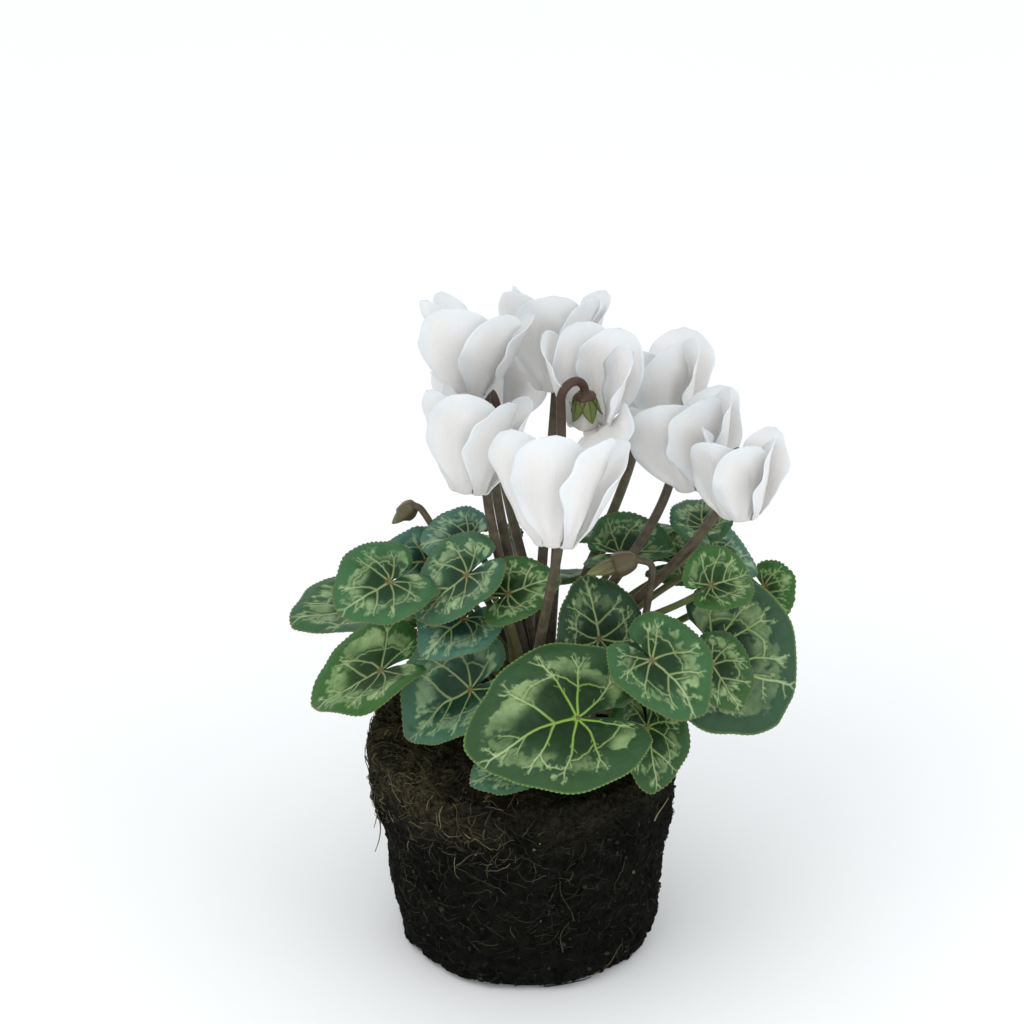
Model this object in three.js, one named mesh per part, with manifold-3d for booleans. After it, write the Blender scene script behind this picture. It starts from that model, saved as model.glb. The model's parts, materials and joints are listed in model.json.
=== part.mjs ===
// A white florist's cyclamen lifted out of its pot: a bare root ball of peat, a tuber sunk in its top,
// and the leaves, flowers and buds that grow from the tuber, each on its own stalk.
// Millimetres, +Z up, -Y to the front. The origin is the middle of the root ball's flat underside.

import * as THREE from 'three';
import { mergeVertices } from 'three/addons/utils/BufferGeometryUtils.js';
import Module from 'manifold-3d';

const wasm = await Module();
wasm.setup();

// Driving dimensions

const GAP = 0.35;
const ROOT_BALL = {
  height: 73, topRadius: 50, bottomRadius: 40, lean: 2, sides: 20, lump: 1.1, underside: [4, 2.8],
};
// Its outline as [share of the tapered radius, share of the height]
const ROOT_BALL_PROFILE = [[0.92, 0], [0.985, 0.025], [1, 0.08], [1, 0.3], [1, 0.52], [1, 0.74], [1, 0.93],
  [0.95, 0.99], [0.6, 1]];
const TUBER = { x: 4, y: 3, z: 73.5, radius: 18, height: 9.5 };
const LEAF_THICKNESS = 0.9;
const LEAF_CREASE = 0.08;
// rise is how strongly a stalk turns up as it leaves the crown. A leaf's stalk ends heading up through the
// blade, along it and straight on from the crown, in these shares.
const LEAF_STALK = { sides: 5, steps: 7, radius: 1.3, rise: 0.5, through: 0.8, along: 0.45, onward: 0.35 };
const FLOWER_STALK = {
  sides: 5, steps: 13, radius: 1.6, rise: 1.2, homeward: 0.35, reach: 0.33, hookRadius: 4.8,
};
const BUD_STALK = { sides: 5, steps: 11, radius: 1.1 };
const COROLLA_TUBE = {
  baseRadius: 2.5, baseHeight: 9.2, mouthRadius: 3.9, mouthHeight: -0.3, wall: 0.9, dome: 0.4, sides: 10,
};
// The calyx's cap as [radius, height over the end of the corolla tube], how far over that end the stalk's
// hook begins, and how far the stalk reaches down into the cap from there
const CALYX_PROFILE = [[0, 0.75], [3.1, 0.4], [3.5, 1.2], [1.9, 2.6], [0, 2.8]];
const CALYX_SIDES = 7;
const HOOK_LIFT = 3.3;
const HOOK_OVERLAP = 1.5;
// standOff is from the corolla tube's outside to the middle of the sepal, top from the tube's end
const SEPAL = {
  azimuths: [36, 108, 180, 252, 324],
  top: 0.8, length: 7, halfWidth: 1.7, tipHalfWidth: 0.17, thickness: 0.7, standOff: 0.85,
};
const PETAL_THICKNESS = 0.8;
const PETAL_AZIMUTHS = [0, 54, 104, -110, -55];
// rim and foldRadius shape the fold at the mouth; lean and bow are degrees off the flower's axis; the
// petal is widest from widestShare of its line on, rounds off after roundShare and twists over twistShares
const PETAL = {
  rim: 3.4, foldRadius: 1.4, length: 33, lean: 22, bow: 12, footHalfWidth: 2.6, halfWidth: 13,
  footShare: 0.1, widestShare: 0.6, roundShare: 0.66, roundPower: 2.2, footCurl: 7, tipCurl: 24,
  twist: 20, twistShares: [0.04, 0.26],
};
const SUNK_PETAL = { lean: 70, bow: 6, length: 24 };

// Leaf outline: distance from the stalk to the margin over the length to the tip, by the angle from the tip
const LEAF_OUTLINE = [[0, 1], [15, 0.91], [30, 0.86], [60, 0.82], [90, 0.79], [120, 0.75], [150, 0.68],
  [165, 0.57], [172, 0.4]];
const LEAF_ANGLES = [-172, -152, -125, -95, -62, -30, 0, 30, 62, 95, 125, 152, 172];
const LEAF_RINGS = [0, 0.5, 1];
const PETAL_STATIONS = [0, 0.08, 0.17, 0.38, 0.62, 0.84, 0.98];

// Leaves: where the blade meets its stalk, its tip, its roll about that line, its fold and bend in degrees,
// its width over the outline's, where its stalk leaves the crown (way round, distance from the middle),
// and how far the stalk keeps its first and last directions, as shares of its span
const LEAVES = [
  { at: [15, -51, 108], tip: [-21, -54, 99], roll: -31, fold: 8, bend: 20, wide: 0.93, root: [-84, 6],
    lift: 0.7, arrive: 0.47 },
  { at: [37, -32, 93], tip: [39, -45, 77], roll: -20, fold: 8, bend: 15, wide: 0.85, root: [-46, 15],
    lift: 0.45, arrive: 0.35 },
  { at: [38, -38, 121], tip: [55, -45, 106], roll: 22, fold: 12, bend: 12, wide: 1, root: [-48, 11],
    lift: 0.25, arrive: 0.43 },
  { at: [57, -24, 111], tip: [66, -32, 99], roll: 2, fold: 12, bend: 12, wide: 1, root: [-29, 12],
    lift: 0.2, arrive: 0.2 },
  { at: [59, 2, 101], tip: [79, -8, 79], roll: 28, fold: 8, bend: 25, wide: 1.05, root: [-12, 13],
    lift: 0.45, arrive: 0.43 },
  { at: [22, -18, 117], tip: [19, -7, 134], roll: 16, fold: 8, bend: 10, wide: 1, root: [-62, 9],
    lift: 0.4, arrive: 0.35 },
  { at: [-6, -18, 133], tip: [10, -15, 137], roll: 17, fold: 8, bend: 19, wide: 1, root: [-113, 8],
    lift: 0.45, arrive: 0.2 },
  { at: [-46, -16, 104], tip: [-68, -16, 92], roll: -13, fold: 15, bend: 10, wide: 1, root: [-150, 12],
    lift: 0.4, arrive: 0.15 },
  { at: [-43, -9, 132], tip: [-59, -19, 126], roll: -19, fold: 10, bend: 10, wide: 1.05, root: [-167, 10],
    lift: 0.55, arrive: 0.35 },
  { at: [-32, 14, 126], tip: [-46, 10, 128], roll: -36, fold: 10, bend: 14, wide: 1, root: [163, 8],
    lift: 0.4, arrive: 0.31 },
  { at: [-19, -10, 135], tip: [-35, -14, 121], roll: -9, fold: 10, bend: 10, wide: 1, root: [-146, 8],
    lift: 0.35, arrive: 0.35 },
  { at: [-19, 13, 136], tip: [-34, 9, 134], roll: -11, fold: 10, bend: 10, wide: 1, root: [137, 6],
    lift: 0.35, arrive: 0.44 },
  { at: [-18, -24, 102], tip: [-39, -25, 87], roll: -30, fold: 28, bend: 12, wide: 1.05, root: [-126, 11],
    lift: 0.65, arrive: 0.12 },
  { at: [-20, -13, 121], tip: [-33, -22, 113], roll: -15, fold: 8, bend: 6, wide: 1, root: [-172, 6],
    lift: 0.45, arrive: 0.48 },
  { at: [-37, 10, 112], tip: [-48, 16, 113], roll: -17, fold: 10, bend: 10, wide: 1, root: [175, 11],
    lift: 0.3, arrive: 0.39 },
  { at: [-2, -43, 87], tip: [-18, -48, 82], roll: -20, fold: 10, bend: 10, wide: 0.8, root: [-98, 15],
    lift: 0.55, arrive: 0.43 },
  { at: [29, 20, 126], tip: [47, 16, 129], roll: 23, fold: 35, bend: 10, wide: 0.9, root: [12, 6],
    lift: 0.55, arrive: 0.27 },
  { at: [55, 16, 138], tip: [54, 30, 140], roll: -6, fold: 25, bend: 10, wide: 1, root: [32, 9],
    lift: 0.55, arrive: 0.27 },
  { at: [57, -11, 132], tip: [69, -1, 131], roll: 38, fold: 30, bend: 10, wide: 1.05, root: [11, 10],
    lift: 0.45, arrive: 0.35 },
  { at: [61, 23, 123], tip: [73, 26, 116], roll: 24, fold: 10, bend: 10, wide: 1, root: [25, 12],
    lift: 0.35, arrive: 0.39 },
  { at: [75, 24, 111], tip: [83, 18, 105], roll: 27, fold: 20, bend: 10, wide: 1.1, root: [4, 13],
    lift: 0.25, arrive: 0.39 },
  { at: [49, 39, 111], tip: [69, 42, 106], roll: 4, fold: 10, bend: 15, wide: 1, root: [42, 12],
    lift: 0.6, arrive: 0.27 },
  { at: [26, 46, 119], tip: [32, 73, 106], roll: 0, fold: 10, bend: 11, wide: 1, root: [62, 11],
    lift: 0.55, arrive: 0.35 },
  { at: [-5, 46, 118], tip: [-9, 49, 119], roll: -6, fold: 12, bend: 19, wide: 1, root: [109, 9],
    lift: 0.4, arrive: 0.35 },
  { at: [-31, 40, 114], tip: [-51, 44, 110], roll: 4, fold: 10, bend: 15, wide: 1, root: [122, 13],
    lift: 0.35, arrive: 0.43 },
  { at: [8, 58, 97], tip: [12, 80, 83], roll: 0, fold: 8, bend: 15, wide: 1, root: [86, 13],
    lift: 0.45, arrive: 0.19 },
  { at: [-50, 42, 92], tip: [-75, 29, 93], roll: 4, fold: 10, bend: 19, wide: 1, root: [158, 13],
    lift: 0.45, arrive: 0.39 },
];

// Flowers: the middle of the mouth, the way it faces, how far its petals lean back from that way, where its
// stalk leaves the crown, what differs from PETAL, and which of its petals has sunk, if one has
const FLOWERS = [
  {
    mouth: [8, -49, 169], face: -102, nod: 28, root: [-100, 11],
    petal: { length: 35, lean: 19 },
  },
  {
    mouth: [52, 5, 159], face: -64, nod: 22, root: [-53, 5],
    petal: { length: 29, halfWidth: 12.5, lean: 17 },
  },
  {
    mouth: [65, -17, 162], face: -85, nod: 6, root: [-11, 9],
    petal: { length: 27, halfWidth: 10, lean: 9 },
  },
  {
    mouth: [-18, -6, 164], face: -110, nod: 22, root: [-135, 4],
    petal: { length: 31, halfWidth: 12, lean: 15 },
  },
  {
    mouth: [-19, 25, 181], face: -117, nod: 21, root: [174, 3],
    petal: { length: 29, halfWidth: 12, lean: 19 },
  },
  {
    mouth: [18, 7, 179], face: 40, nod: 4, root: [41, 3],
    petal: { length: 29, halfWidth: 12, lean: 17 },
    sunk: 3,
  },
  {
    mouth: [42, 41, 158], face: -64, nod: 16, root: [58, 7],
    petal: { length: 31, halfWidth: 12, lean: 15 },
  },
  {
    mouth: [8, 46, 172], face: -98, nod: 20, root: [103, 4],
    petal: { length: 31, halfWidth: 12, lean: 15 },
  },
  {
    mouth: [-14, 65, 147], face: 110, nod: 15, root: [84, 9],
    petal: { length: 30, halfWidth: 12, lean: 18 },
  },
];

// Buds: the foot and the tip of the furled petals, where the stalk leaves the crown and the points it passes
const BUDS = [
  {
    base: [31, -10, 140], tip: [18, -11, 136], root: [-38, 8],
    path: [[33, -7, 108], [38, -9, 130], [38, -10, 139]],
  },
  {
    base: [-7, 6, 127], tip: [-11, 4, 120], root: [-78, 1],
    path: [[1, 2, 108], [-2, 5, 121], [-4, 6, 128]],
  },
  {
    base: [-37, 24, 140], tip: [-43, 28, 132], root: [135, 10],
    path: [[-12, 13, 111], [-29, 20, 134], [-34, 22, 141]],
  },
];
const BUD_SIDES = 10;
// Turned outlines as [radius, distance from the foot], both shares of the bud's length
const BUD_PROFILE = [[0, 1], [0.08, 0.85], [0.16, 0.6], [0.2, 0.35], [0.18, 0.15], [0.12, 0], [0, 0]];
const BUD_CUP = [[0, 0.04], [0.16, 0.04], [0.235, -0.17], [0.235, -0.32], [0.275, -0.32], [0.27, -0.1],
  [0.2, 0.12], [0.1, 0.2], [0, 0.2]];
const BUD_STALK_DEPTH = 0.16;

// Small helpers

const radians = THREE.MathUtils.degToRad;
const vector = (x, y, z) => new THREE.Vector3(x, y, z);
const UP = vector(0, 0, 1);

function interpolate(table, x) {
  const last = table.length - 1;
  for (let i = 0; i < last; i += 1) {
    const [x0, y0] = table[i];
    const [x1, y1] = table[i + 1];
    if (x <= x1) {
      return y0 + ((y1 - y0) * (x - x0)) / (x1 - x0);
    }
  }
  return table[last][1];
}

// 0 up to start, 1 from end on, and even between them
function ramp(x, start, end) {
  return Math.min(Math.max((x - start) / (end - start), 0), 1);
}

// origin + x * xAxis + y * yAxis + z * zAxis
function inFrame(frame, x, y, z) {
  return frame.origin.clone()
    .addScaledVector(frame.xAxis, x)
    .addScaledVector(frame.yAxis, y)
    .addScaledVector(frame.zAxis, z);
}

function solidOf(geometry) {
  const bare = geometry.clone();
  bare.deleteAttribute('normal');
  bare.deleteAttribute('uv');
  const merged = mergeVertices(bare, 1e-4);
  const corners = Array.from(merged.index.array);
  const triVerts = [];
  for (let i = 0; i < corners.length; i += 3) {
    const [a, b, c] = corners.slice(i, i + 3);
    if (a !== b && b !== c && c !== a) {
      triVerts.push(a, b, c);
    }
  }
  return new wasm.Manifold(new wasm.Mesh({
    numProp: 3,
    vertProperties: new Float32Array(merged.attributes.position.array),
    triVerts: new Uint32Array(triVerts),
  }));
}

function geometryOf(solid) {
  const mesh = solid.getMesh();
  const geometry = new THREE.BufferGeometry();
  geometry.setAttribute('position', new THREE.BufferAttribute(mesh.vertProperties, 3));
  geometry.setIndex(new THREE.BufferAttribute(mesh.triVerts, 1));
  return geometry;
}

function joined(geometries) {
  const solids = geometries.map(solidOf);
  return geometryOf(solids.reduce((sum, solid) => sum.add(solid)));
}

// A thin closed solid: the same grid of points on its two faces, joined round the edge.
// pointAt(row, column, side) gives a point, with side +1 or -1.
function sheetGeometry(rows, columns, pointAt) {
  const positions = [];
  for (const side of [1, -1]) {
    for (let i = 0; i < rows; i += 1) {
      for (let j = 0; j < columns; j += 1) {
        positions.push(...pointAt(i, j, side).toArray());
      }
    }
  }
  const at = (i, j, side) => (side > 0 ? 0 : rows * columns) + i * columns + j;
  const index = [];
  for (let i = 0; i + 1 < rows; i += 1) {
    for (let j = 0; j + 1 < columns; j += 1) {
      index.push(at(i, j, 1), at(i + 1, j, 1), at(i + 1, j + 1, 1));
      index.push(at(i, j, 1), at(i + 1, j + 1, 1), at(i, j + 1, 1));
      index.push(at(i, j, -1), at(i + 1, j + 1, -1), at(i + 1, j, -1));
      index.push(at(i, j, -1), at(i, j + 1, -1), at(i + 1, j + 1, -1));
    }
  }
  const edge = [];
  for (let i = 0; i + 1 < rows; i += 1) edge.push([i, 0]);
  for (let j = 0; j + 1 < columns; j += 1) edge.push([rows - 1, j]);
  for (let i = rows - 1; i > 0; i -= 1) edge.push([i, columns - 1]);
  for (let j = columns - 1; j > 0; j -= 1) edge.push([0, j]);
  edge.forEach(([i, j], k) => {
    const [i2, j2] = edge[(k + 1) % edge.length];
    index.push(at(i, j, 1), at(i2, j2, -1), at(i2, j2, 1));
    index.push(at(i, j, 1), at(i, j, -1), at(i2, j2, -1));
  });
  const geometry = new THREE.BufferGeometry();
  geometry.setAttribute('position', new THREE.Float32BufferAttribute(positions, 3));
  geometry.setIndex(index);
  return geometry;
}

// A round stalk along a curve
function stalkGeometry(curve, { sides, steps, radius }) {
  const section = new THREE.Shape();
  for (let k = 0; k < sides; k += 1) {
    const turn = (2 * Math.PI * k) / sides;
    const x = radius * Math.cos(turn);
    const y = radius * Math.sin(turn);
    if (k === 0) {
      section.moveTo(x, y);
    } else {
      section.lineTo(x, y);
    }
  }
  section.closePath();
  return new THREE.ExtrudeGeometry(section, { steps, extrudePath: curve, bevelEnabled: false });
}

// A point on the tuber's crown, a given way round and out from its middle, and the slope there
function crownPoint([azimuth, radius], lift) {
  const x = radius * Math.cos(radians(azimuth));
  const y = radius * Math.sin(radians(azimuth));
  const z = TUBER.height * Math.sqrt(1 - (radius / TUBER.radius) ** 2);
  const normal = vector(x / TUBER.radius ** 2, y / TUBER.radius ** 2, z / TUBER.height ** 2).normalize();
  const point = vector(TUBER.x + x, TUBER.y + y, TUBER.z + z).addScaledVector(normal, lift);
  return { point, normal };
}

// Leaves

function leafFrame({ at, tip, roll }) {
  const origin = vector(...at);
  const xAxis = vector(...tip).sub(origin).normalize();
  const flat = UP.clone().addScaledVector(xAxis, -UP.dot(xAxis)).normalize();
  const across = flat.clone().cross(xAxis);
  const turn = radians(roll);
  return {
    origin,
    xAxis,
    yAxis: across.clone().multiplyScalar(Math.cos(turn)).addScaledVector(flat, Math.sin(turn)),
    zAxis: flat.clone().multiplyScalar(Math.cos(turn)).addScaledVector(across, -Math.sin(turn)),
  };
}

// The blade is drawn flat, folded up along its midrib, then bent down towards its tip.
function leafPoint(leaf, frame, share, angle, offset) {
  const chord = vector(...leaf.tip).distanceTo(frame.origin);
  const halfBend = radians(leaf.bend) / 2;
  const length = (chord * halfBend) / Math.sin(halfBend);
  const reach = length * share * interpolate(LEAF_OUTLINE, Math.abs(angle));
  const u = reach * Math.cos(radians(angle));
  const v = reach * Math.sin(radians(angle));
  const crease = LEAF_CREASE * length;
  const fold = radians(leaf.fold);
  const y = v * leaf.wide * Math.cos(fold);
  const z = (Math.hypot(v, crease) - crease) * leaf.wide * Math.sin(fold);
  const curve = (2 * halfBend) / length;
  const bentX = Math.sin(curve * u) / curve + z * Math.sin(curve * u);
  const bentZ = z * Math.cos(curve * u) - (1 - Math.cos(curve * u)) / curve;
  return inFrame(
    frame,
    bentX * Math.cos(halfBend) - bentZ * Math.sin(halfBend),
    y,
    bentX * Math.sin(halfBend) + bentZ * Math.cos(halfBend) + offset,
  );
}

function leafBlade(leaf, frame) {
  return sheetGeometry(LEAF_RINGS.length, LEAF_ANGLES.length, (ring, spoke, side) => leafPoint(
    leaf, frame, LEAF_RINGS[ring], LEAF_ANGLES[spoke], (side * LEAF_THICKNESS) / 2));
}

// The stalk leaves the crown squarely, arches over and meets the blade from below.
function leafStalk(leaf, frame) {
  const start = crownPoint(leaf.root, GAP);
  const end = frame.origin;
  const span = end.distanceTo(start.point);
  const straight = end.clone().sub(start.point).normalize();
  const arrive = frame.zAxis.clone().multiplyScalar(LEAF_STALK.through)
    .addScaledVector(frame.xAxis, LEAF_STALK.along)
    .addScaledVector(straight, LEAF_STALK.onward)
    .normalize();
  const rise = start.normal.clone().addScaledVector(UP, LEAF_STALK.rise).normalize();
  const curve = new THREE.CubicBezierCurve3(
    start.point,
    start.point.clone().addScaledVector(rise, span * leaf.lift),
    end.clone().addScaledVector(arrive, -span * leaf.arrive),
    end,
  );
  return stalkGeometry(curve, LEAF_STALK);
}

function leafGeometry(leaf) {
  const frame = leafFrame(leaf);
  return joined([leafBlade(leaf, frame), leafStalk(leaf, frame)]);
}

// Flowers: in a flower's frame the origin is the middle of its mouth, z runs up its axis to the petal tips
// and x is the way it faces, away from its stalk.

function flowerFrame({ mouth, face, nod }) {
  const ahead = vector(Math.cos(radians(face)), Math.sin(radians(face)), 0);
  const lean = radians(nod);
  const zAxis = UP.clone().multiplyScalar(Math.cos(lean)).addScaledVector(ahead, -Math.sin(lean));
  const xAxis = ahead.clone().multiplyScalar(Math.cos(lean)).addScaledVector(UP, Math.sin(lean));
  return { origin: vector(...mouth), xAxis, yAxis: zAxis.clone().cross(xAxis), zAxis };
}

// The middle line of a petal: round the reflexed fold at the mouth, then up in a shallow bow.
function petalLine(petal, share) {
  const foldLength = Math.PI * petal.foldRadius;
  const along = share * (foldLength + petal.length);
  if (along < foldLength) {
    const turn = along / petal.foldRadius;
    return [petal.rim + petal.foldRadius * (1 - Math.cos(turn)), -petal.foldRadius * Math.sin(turn)];
  }
  const rest = along - foldLength;
  const first = radians(petal.lean + petal.bow);
  const rate = (-2 * radians(petal.bow)) / petal.length;
  return [
    petal.rim + 2 * petal.foldRadius - (Math.cos(first + rate * rest) - Math.cos(first)) / rate,
    (Math.sin(first + rate * rest) - Math.sin(first)) / rate,
  ];
}

function petalHalfWidth(petal, share) {
  const rise = ramp(share, petal.footShare, petal.widestShare);
  const growth = (petal.halfWidth - petal.footHalfWidth) * Math.sin((Math.PI / 2) * rise);
  const roundOff = ramp(share, petal.roundShare, 1) ** petal.roundPower;
  return (petal.footHalfWidth + growth) * Math.sqrt(1 - roundOff);
}

// across runs from -1 to 1 over the petal's width; the petal is hollow to the axis and twists as it rises
function petalPoint(petal, azimuth, frame, share, across, offset) {
  const step = 1e-3;
  const [r, h] = petalLine(petal, share);
  const [r1, h1] = petalLine(petal, Math.max(share - step, 0));
  const [r2, h2] = petalLine(petal, Math.min(share + step, 1));
  const run = Math.hypot(r2 - r1, h2 - h1);
  const normalR = -(h2 - h1) / run;
  const normalH = (r2 - r1) / run;
  const curl = petal.footCurl + (petal.tipCurl - petal.footCurl) * share;
  const turn = (across * petalHalfWidth(petal, share)) / curl;
  const side = curl * Math.sin(turn);
  const inward = curl * (1 - Math.cos(turn)) + offset;
  const twist = radians(petal.twist) * ramp(share, ...petal.twistShares);
  const sideways = side * Math.cos(twist) - inward * Math.sin(twist);
  const normal = side * Math.sin(twist) + inward * Math.cos(twist);
  const out = r + normal * normalR;
  const way = radians(azimuth);
  return inFrame(
    frame,
    out * Math.cos(way) - sideways * Math.sin(way),
    out * Math.sin(way) + sideways * Math.cos(way),
    h + normal * normalH,
  );
}

function petalGeometry(petal, azimuth, frame) {
  return sheetGeometry(PETAL_STATIONS.length, 3, (row, column, side) => petalPoint(
    petal, azimuth, frame, PETAL_STATIONS[row], column - 1, (side * PETAL_THICKNESS) / 2));
}

function placed(geometry, frame) {
  const matrix = new THREE.Matrix4().makeBasis(frame.xAxis, frame.yAxis, frame.zAxis);
  return geometry.applyMatrix4(matrix.setPosition(frame.origin));
}

// LatheGeometry turns about y, so it is stood up along z.
function turned(profile, sides) {
  const points = profile.map(([r, z]) => new THREE.Vector2(r, z));
  return new THREE.LatheGeometry(points, sides).rotateX(Math.PI / 2);
}

// The short tube that the petals are joined to, closed at the calyx and open at the mouth
function corollaTube(frame) {
  const { baseRadius, baseHeight, mouthRadius, mouthHeight, wall, dome, sides } = COROLLA_TUBE;
  const profile = [
    [0, baseHeight - wall],
    [baseRadius - wall, baseHeight - wall],
    [mouthRadius - wall, mouthHeight],
    [mouthRadius, mouthHeight],
    [baseRadius, baseHeight],
    [0, baseHeight + dome],
  ];
  return placed(turned(profile, sides), frame);
}

function corollaGeometry(flower) {
  const frame = flowerFrame(flower);
  const petal = { ...PETAL, ...flower.petal };
  const petals = PETAL_AZIMUTHS.map((azimuth, i) => petalGeometry(
    i === flower.sunk ? { ...petal, ...SUNK_PETAL } : petal, azimuth, frame));
  return joined([corollaTube(frame), ...petals]);
}

// One sepal, lying along the outside of the corolla tube: its foot, its middle and its narrow tip
function sepalGeometry(azimuth, frame) {
  const way = radians(azimuth);
  const { baseRadius, baseHeight, mouthRadius } = COROLLA_TUBE;
  const slope = (mouthRadius - baseRadius) / baseHeight;
  const halfWidths = [SEPAL.halfWidth, SEPAL.halfWidth, SEPAL.tipHalfWidth];
  return sheetGeometry(halfWidths.length, 2, (row, column, side) => {
    const drop = (SEPAL.length * row) / (halfWidths.length - 1) - SEPAL.top;
    const out = baseRadius + drop * slope + SEPAL.standOff + (side * SEPAL.thickness) / 2;
    const sideways = (2 * column - 1) * halfWidths[row];
    return inFrame(
      frame,
      out * Math.cos(way) - sideways * Math.sin(way),
      out * Math.sin(way) + sideways * Math.cos(way),
      baseHeight - drop,
    );
  });
}

// The calyx: a small cap over the end of the corolla tube, with five pointed sepals
function calyxGeometries(frame) {
  const cap = CALYX_PROFILE.map(([r, z]) => [r, COROLLA_TUBE.baseHeight + z]);
  const sepals = SEPAL.azimuths.map((azimuth) => sepalGeometry(azimuth, frame));
  return [placed(turned(cap, CALYX_SIDES), frame), ...sepals];
}

// The stalk rises from the crown behind the flower and hooks over into its calyx.
function flowerStalkGeometry(flower) {
  const frame = flowerFrame(flower);
  const { hookRadius, homeward, rise, reach } = FLOWER_STALK;
  const hookHeight = COROLLA_TUBE.baseHeight + HOOK_LIFT;
  const points = [inFrame(frame, 0, 0, hookHeight - HOOK_OVERLAP)];
  for (const turn of [0, 45, 90, 135, 180]) {
    const x = -hookRadius * (1 - Math.cos(radians(turn)));
    points.push(inFrame(frame, x, 0, hookHeight + hookRadius * Math.sin(radians(turn))));
  }
  const hookEnd = points[points.length - 1];
  const start = crownPoint(flower.root, GAP);
  const span = hookEnd.distanceTo(start.point);
  const leave = start.point.clone().sub(hookEnd).normalize()
    .multiplyScalar(homeward)
    .sub(frame.zAxis)
    .normalize();
  const upward = start.normal.clone().addScaledVector(UP, rise).normalize();
  const drop = new THREE.CubicBezierCurve3(
    hookEnd,
    hookEnd.clone().addScaledVector(leave, span * reach),
    start.point.clone().addScaledVector(upward, span * reach),
    start.point,
  );
  points.push(...drop.getPoints(8).slice(1));
  const curve = new THREE.CatmullRomCurve3(points.reverse());
  return joined([stalkGeometry(curve, FLOWER_STALK), ...calyxGeometries(frame)]);
}

// Buds: still furled, hanging by their hooked stalks

function budFrame({ base, tip }) {
  const origin = vector(...base);
  const zAxis = origin.clone().sub(vector(...tip)).normalize();
  const xAxis = vector(0, -1, 0).addScaledVector(zAxis, zAxis.y).normalize();
  return { origin, xAxis, yAxis: zAxis.clone().cross(xAxis), zAxis };
}

function budGeometry(bud) {
  const length = vector(...bud.base).distanceTo(vector(...bud.tip));
  const profile = BUD_PROFILE.map(([r, z]) => [r * length, -z * length]);
  return placed(turned(profile, BUD_SIDES), budFrame(bud));
}

// The stalk with the calyx, a cup that holds the foot of the bud
function budStalkGeometry(bud) {
  const frame = budFrame(bud);
  const length = vector(...bud.base).distanceTo(vector(...bud.tip));
  const cup = BUD_CUP.map(([r, z]) => [r * length, z * length]);
  const start = crownPoint(bud.root, GAP).point;
  const hook = bud.path.map((point) => vector(...point));
  const curve = new THREE.CatmullRomCurve3([start, ...hook, inFrame(frame, 0, 0, BUD_STALK_DEPTH * length)]);
  return joined([stalkGeometry(curve, BUD_STALK), placed(turned(cup, BUD_SIDES), frame)]);
}

// Root ball and tuber

function tuberGeometry(margin) {
  const geometry = new THREE.SphereGeometry(1, 14, 8);
  geometry.rotateX(Math.PI / 2);
  geometry.scale(TUBER.radius + margin, TUBER.radius + margin, TUBER.height + margin);
  return geometry.translate(TUBER.x, TUBER.y, TUBER.z);
}

// The peat keeps the taper of the pot it grew in. Its foot is worn round, its underside is flat,
// and the tuber sits in a hollow in its top.
function rootBallGeometry() {
  const { height, topRadius, bottomRadius, lean, sides, lump, underside } = ROOT_BALL;
  const profile = ROOT_BALL_PROFILE.map(([width, rise]) => [
    width * (bottomRadius + (topRadius - bottomRadius) * rise),
    rise * height,
  ]);
  const points = [vector(...underside, 0)];
  profile.forEach(([radius, z], ring) => {
    for (let k = 0; k < sides; k += 1) {
      const turn = (2 * Math.PI * k) / sides;
      const bulge = lump * Math.sin(3 * turn + ring) * Math.cos(5 * turn - 2 * ring);
      const r = radius + (z > 0 && z < height ? bulge : 0);
      points.push(vector(r * Math.cos(turn) - (lean * z) / height, r * Math.sin(turn), z));
    }
  });
  points.push(vector(-lean, 0, height));
  const index = [];
  const last = points.length - 1;
  const at = (ring, k) => 1 + ring * sides + (k % sides);
  for (let k = 0; k < sides; k += 1) {
    index.push(0, at(0, k + 1), at(0, k));
    index.push(last, at(profile.length - 1, k), at(profile.length - 1, k + 1));
    for (let ring = 0; ring + 1 < profile.length; ring += 1) {
      index.push(at(ring, k), at(ring, k + 1), at(ring + 1, k + 1));
      index.push(at(ring, k), at(ring + 1, k + 1), at(ring + 1, k));
    }
  }
  const geometry = new THREE.BufferGeometry();
  const coordinates = points.flatMap((point) => point.toArray());
  geometry.setAttribute('position', new THREE.Float32BufferAttribute(coordinates, 3));
  geometry.setIndex(index);
  const hollow = solidOf(tuberGeometry(GAP));
  return geometryOf(solidOf(geometry).subtract(hollow));
}

// The plant

const COLOURS = {
  peat: { color: 0x241f1a, roughness: 0.95 },
  tuber: { color: 0x5a4433, roughness: 0.85 },
  leaf: { color: 0x2f4f33, roughness: 0.5 },
  petal: { color: 0xf3f2f2, roughness: 0.45 },
  stalk: { color: 0x4d3a33, roughness: 0.5 },
  bud: { color: 0x8c8a52, roughness: 0.5 },
};

const plant = new THREE.Group();

function addPiece(name, geometry, finish) {
  const material = new THREE.MeshStandardMaterial({ ...COLOURS[finish], metalness: 0 });
  const mesh = new THREE.Mesh(geometry, material);
  mesh.name = name;
  plant.add(mesh);
}

const twoDigits = (i) => String(i + 1).padStart(2, '0');

addPiece('root_ball', rootBallGeometry(), 'peat');
addPiece('tuber', tuberGeometry(0), 'tuber');
LEAVES.forEach((leaf, i) => addPiece(`leaf_${twoDigits(i)}`, leafGeometry(leaf), 'leaf'));
FLOWERS.forEach((flower, i) => {
  addPiece(`flower_${twoDigits(i)}_corolla`, corollaGeometry(flower), 'petal');
  addPiece(`flower_${twoDigits(i)}_stalk`, flowerStalkGeometry(flower), 'stalk');
});
BUDS.forEach((bud, i) => {
  addPiece(`bud_${twoDigits(i)}`, budGeometry(bud), 'bud');
  addPiece(`bud_${twoDigits(i)}_stalk`, budStalkGeometry(bud), 'stalk');
});

export default plant;
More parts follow.
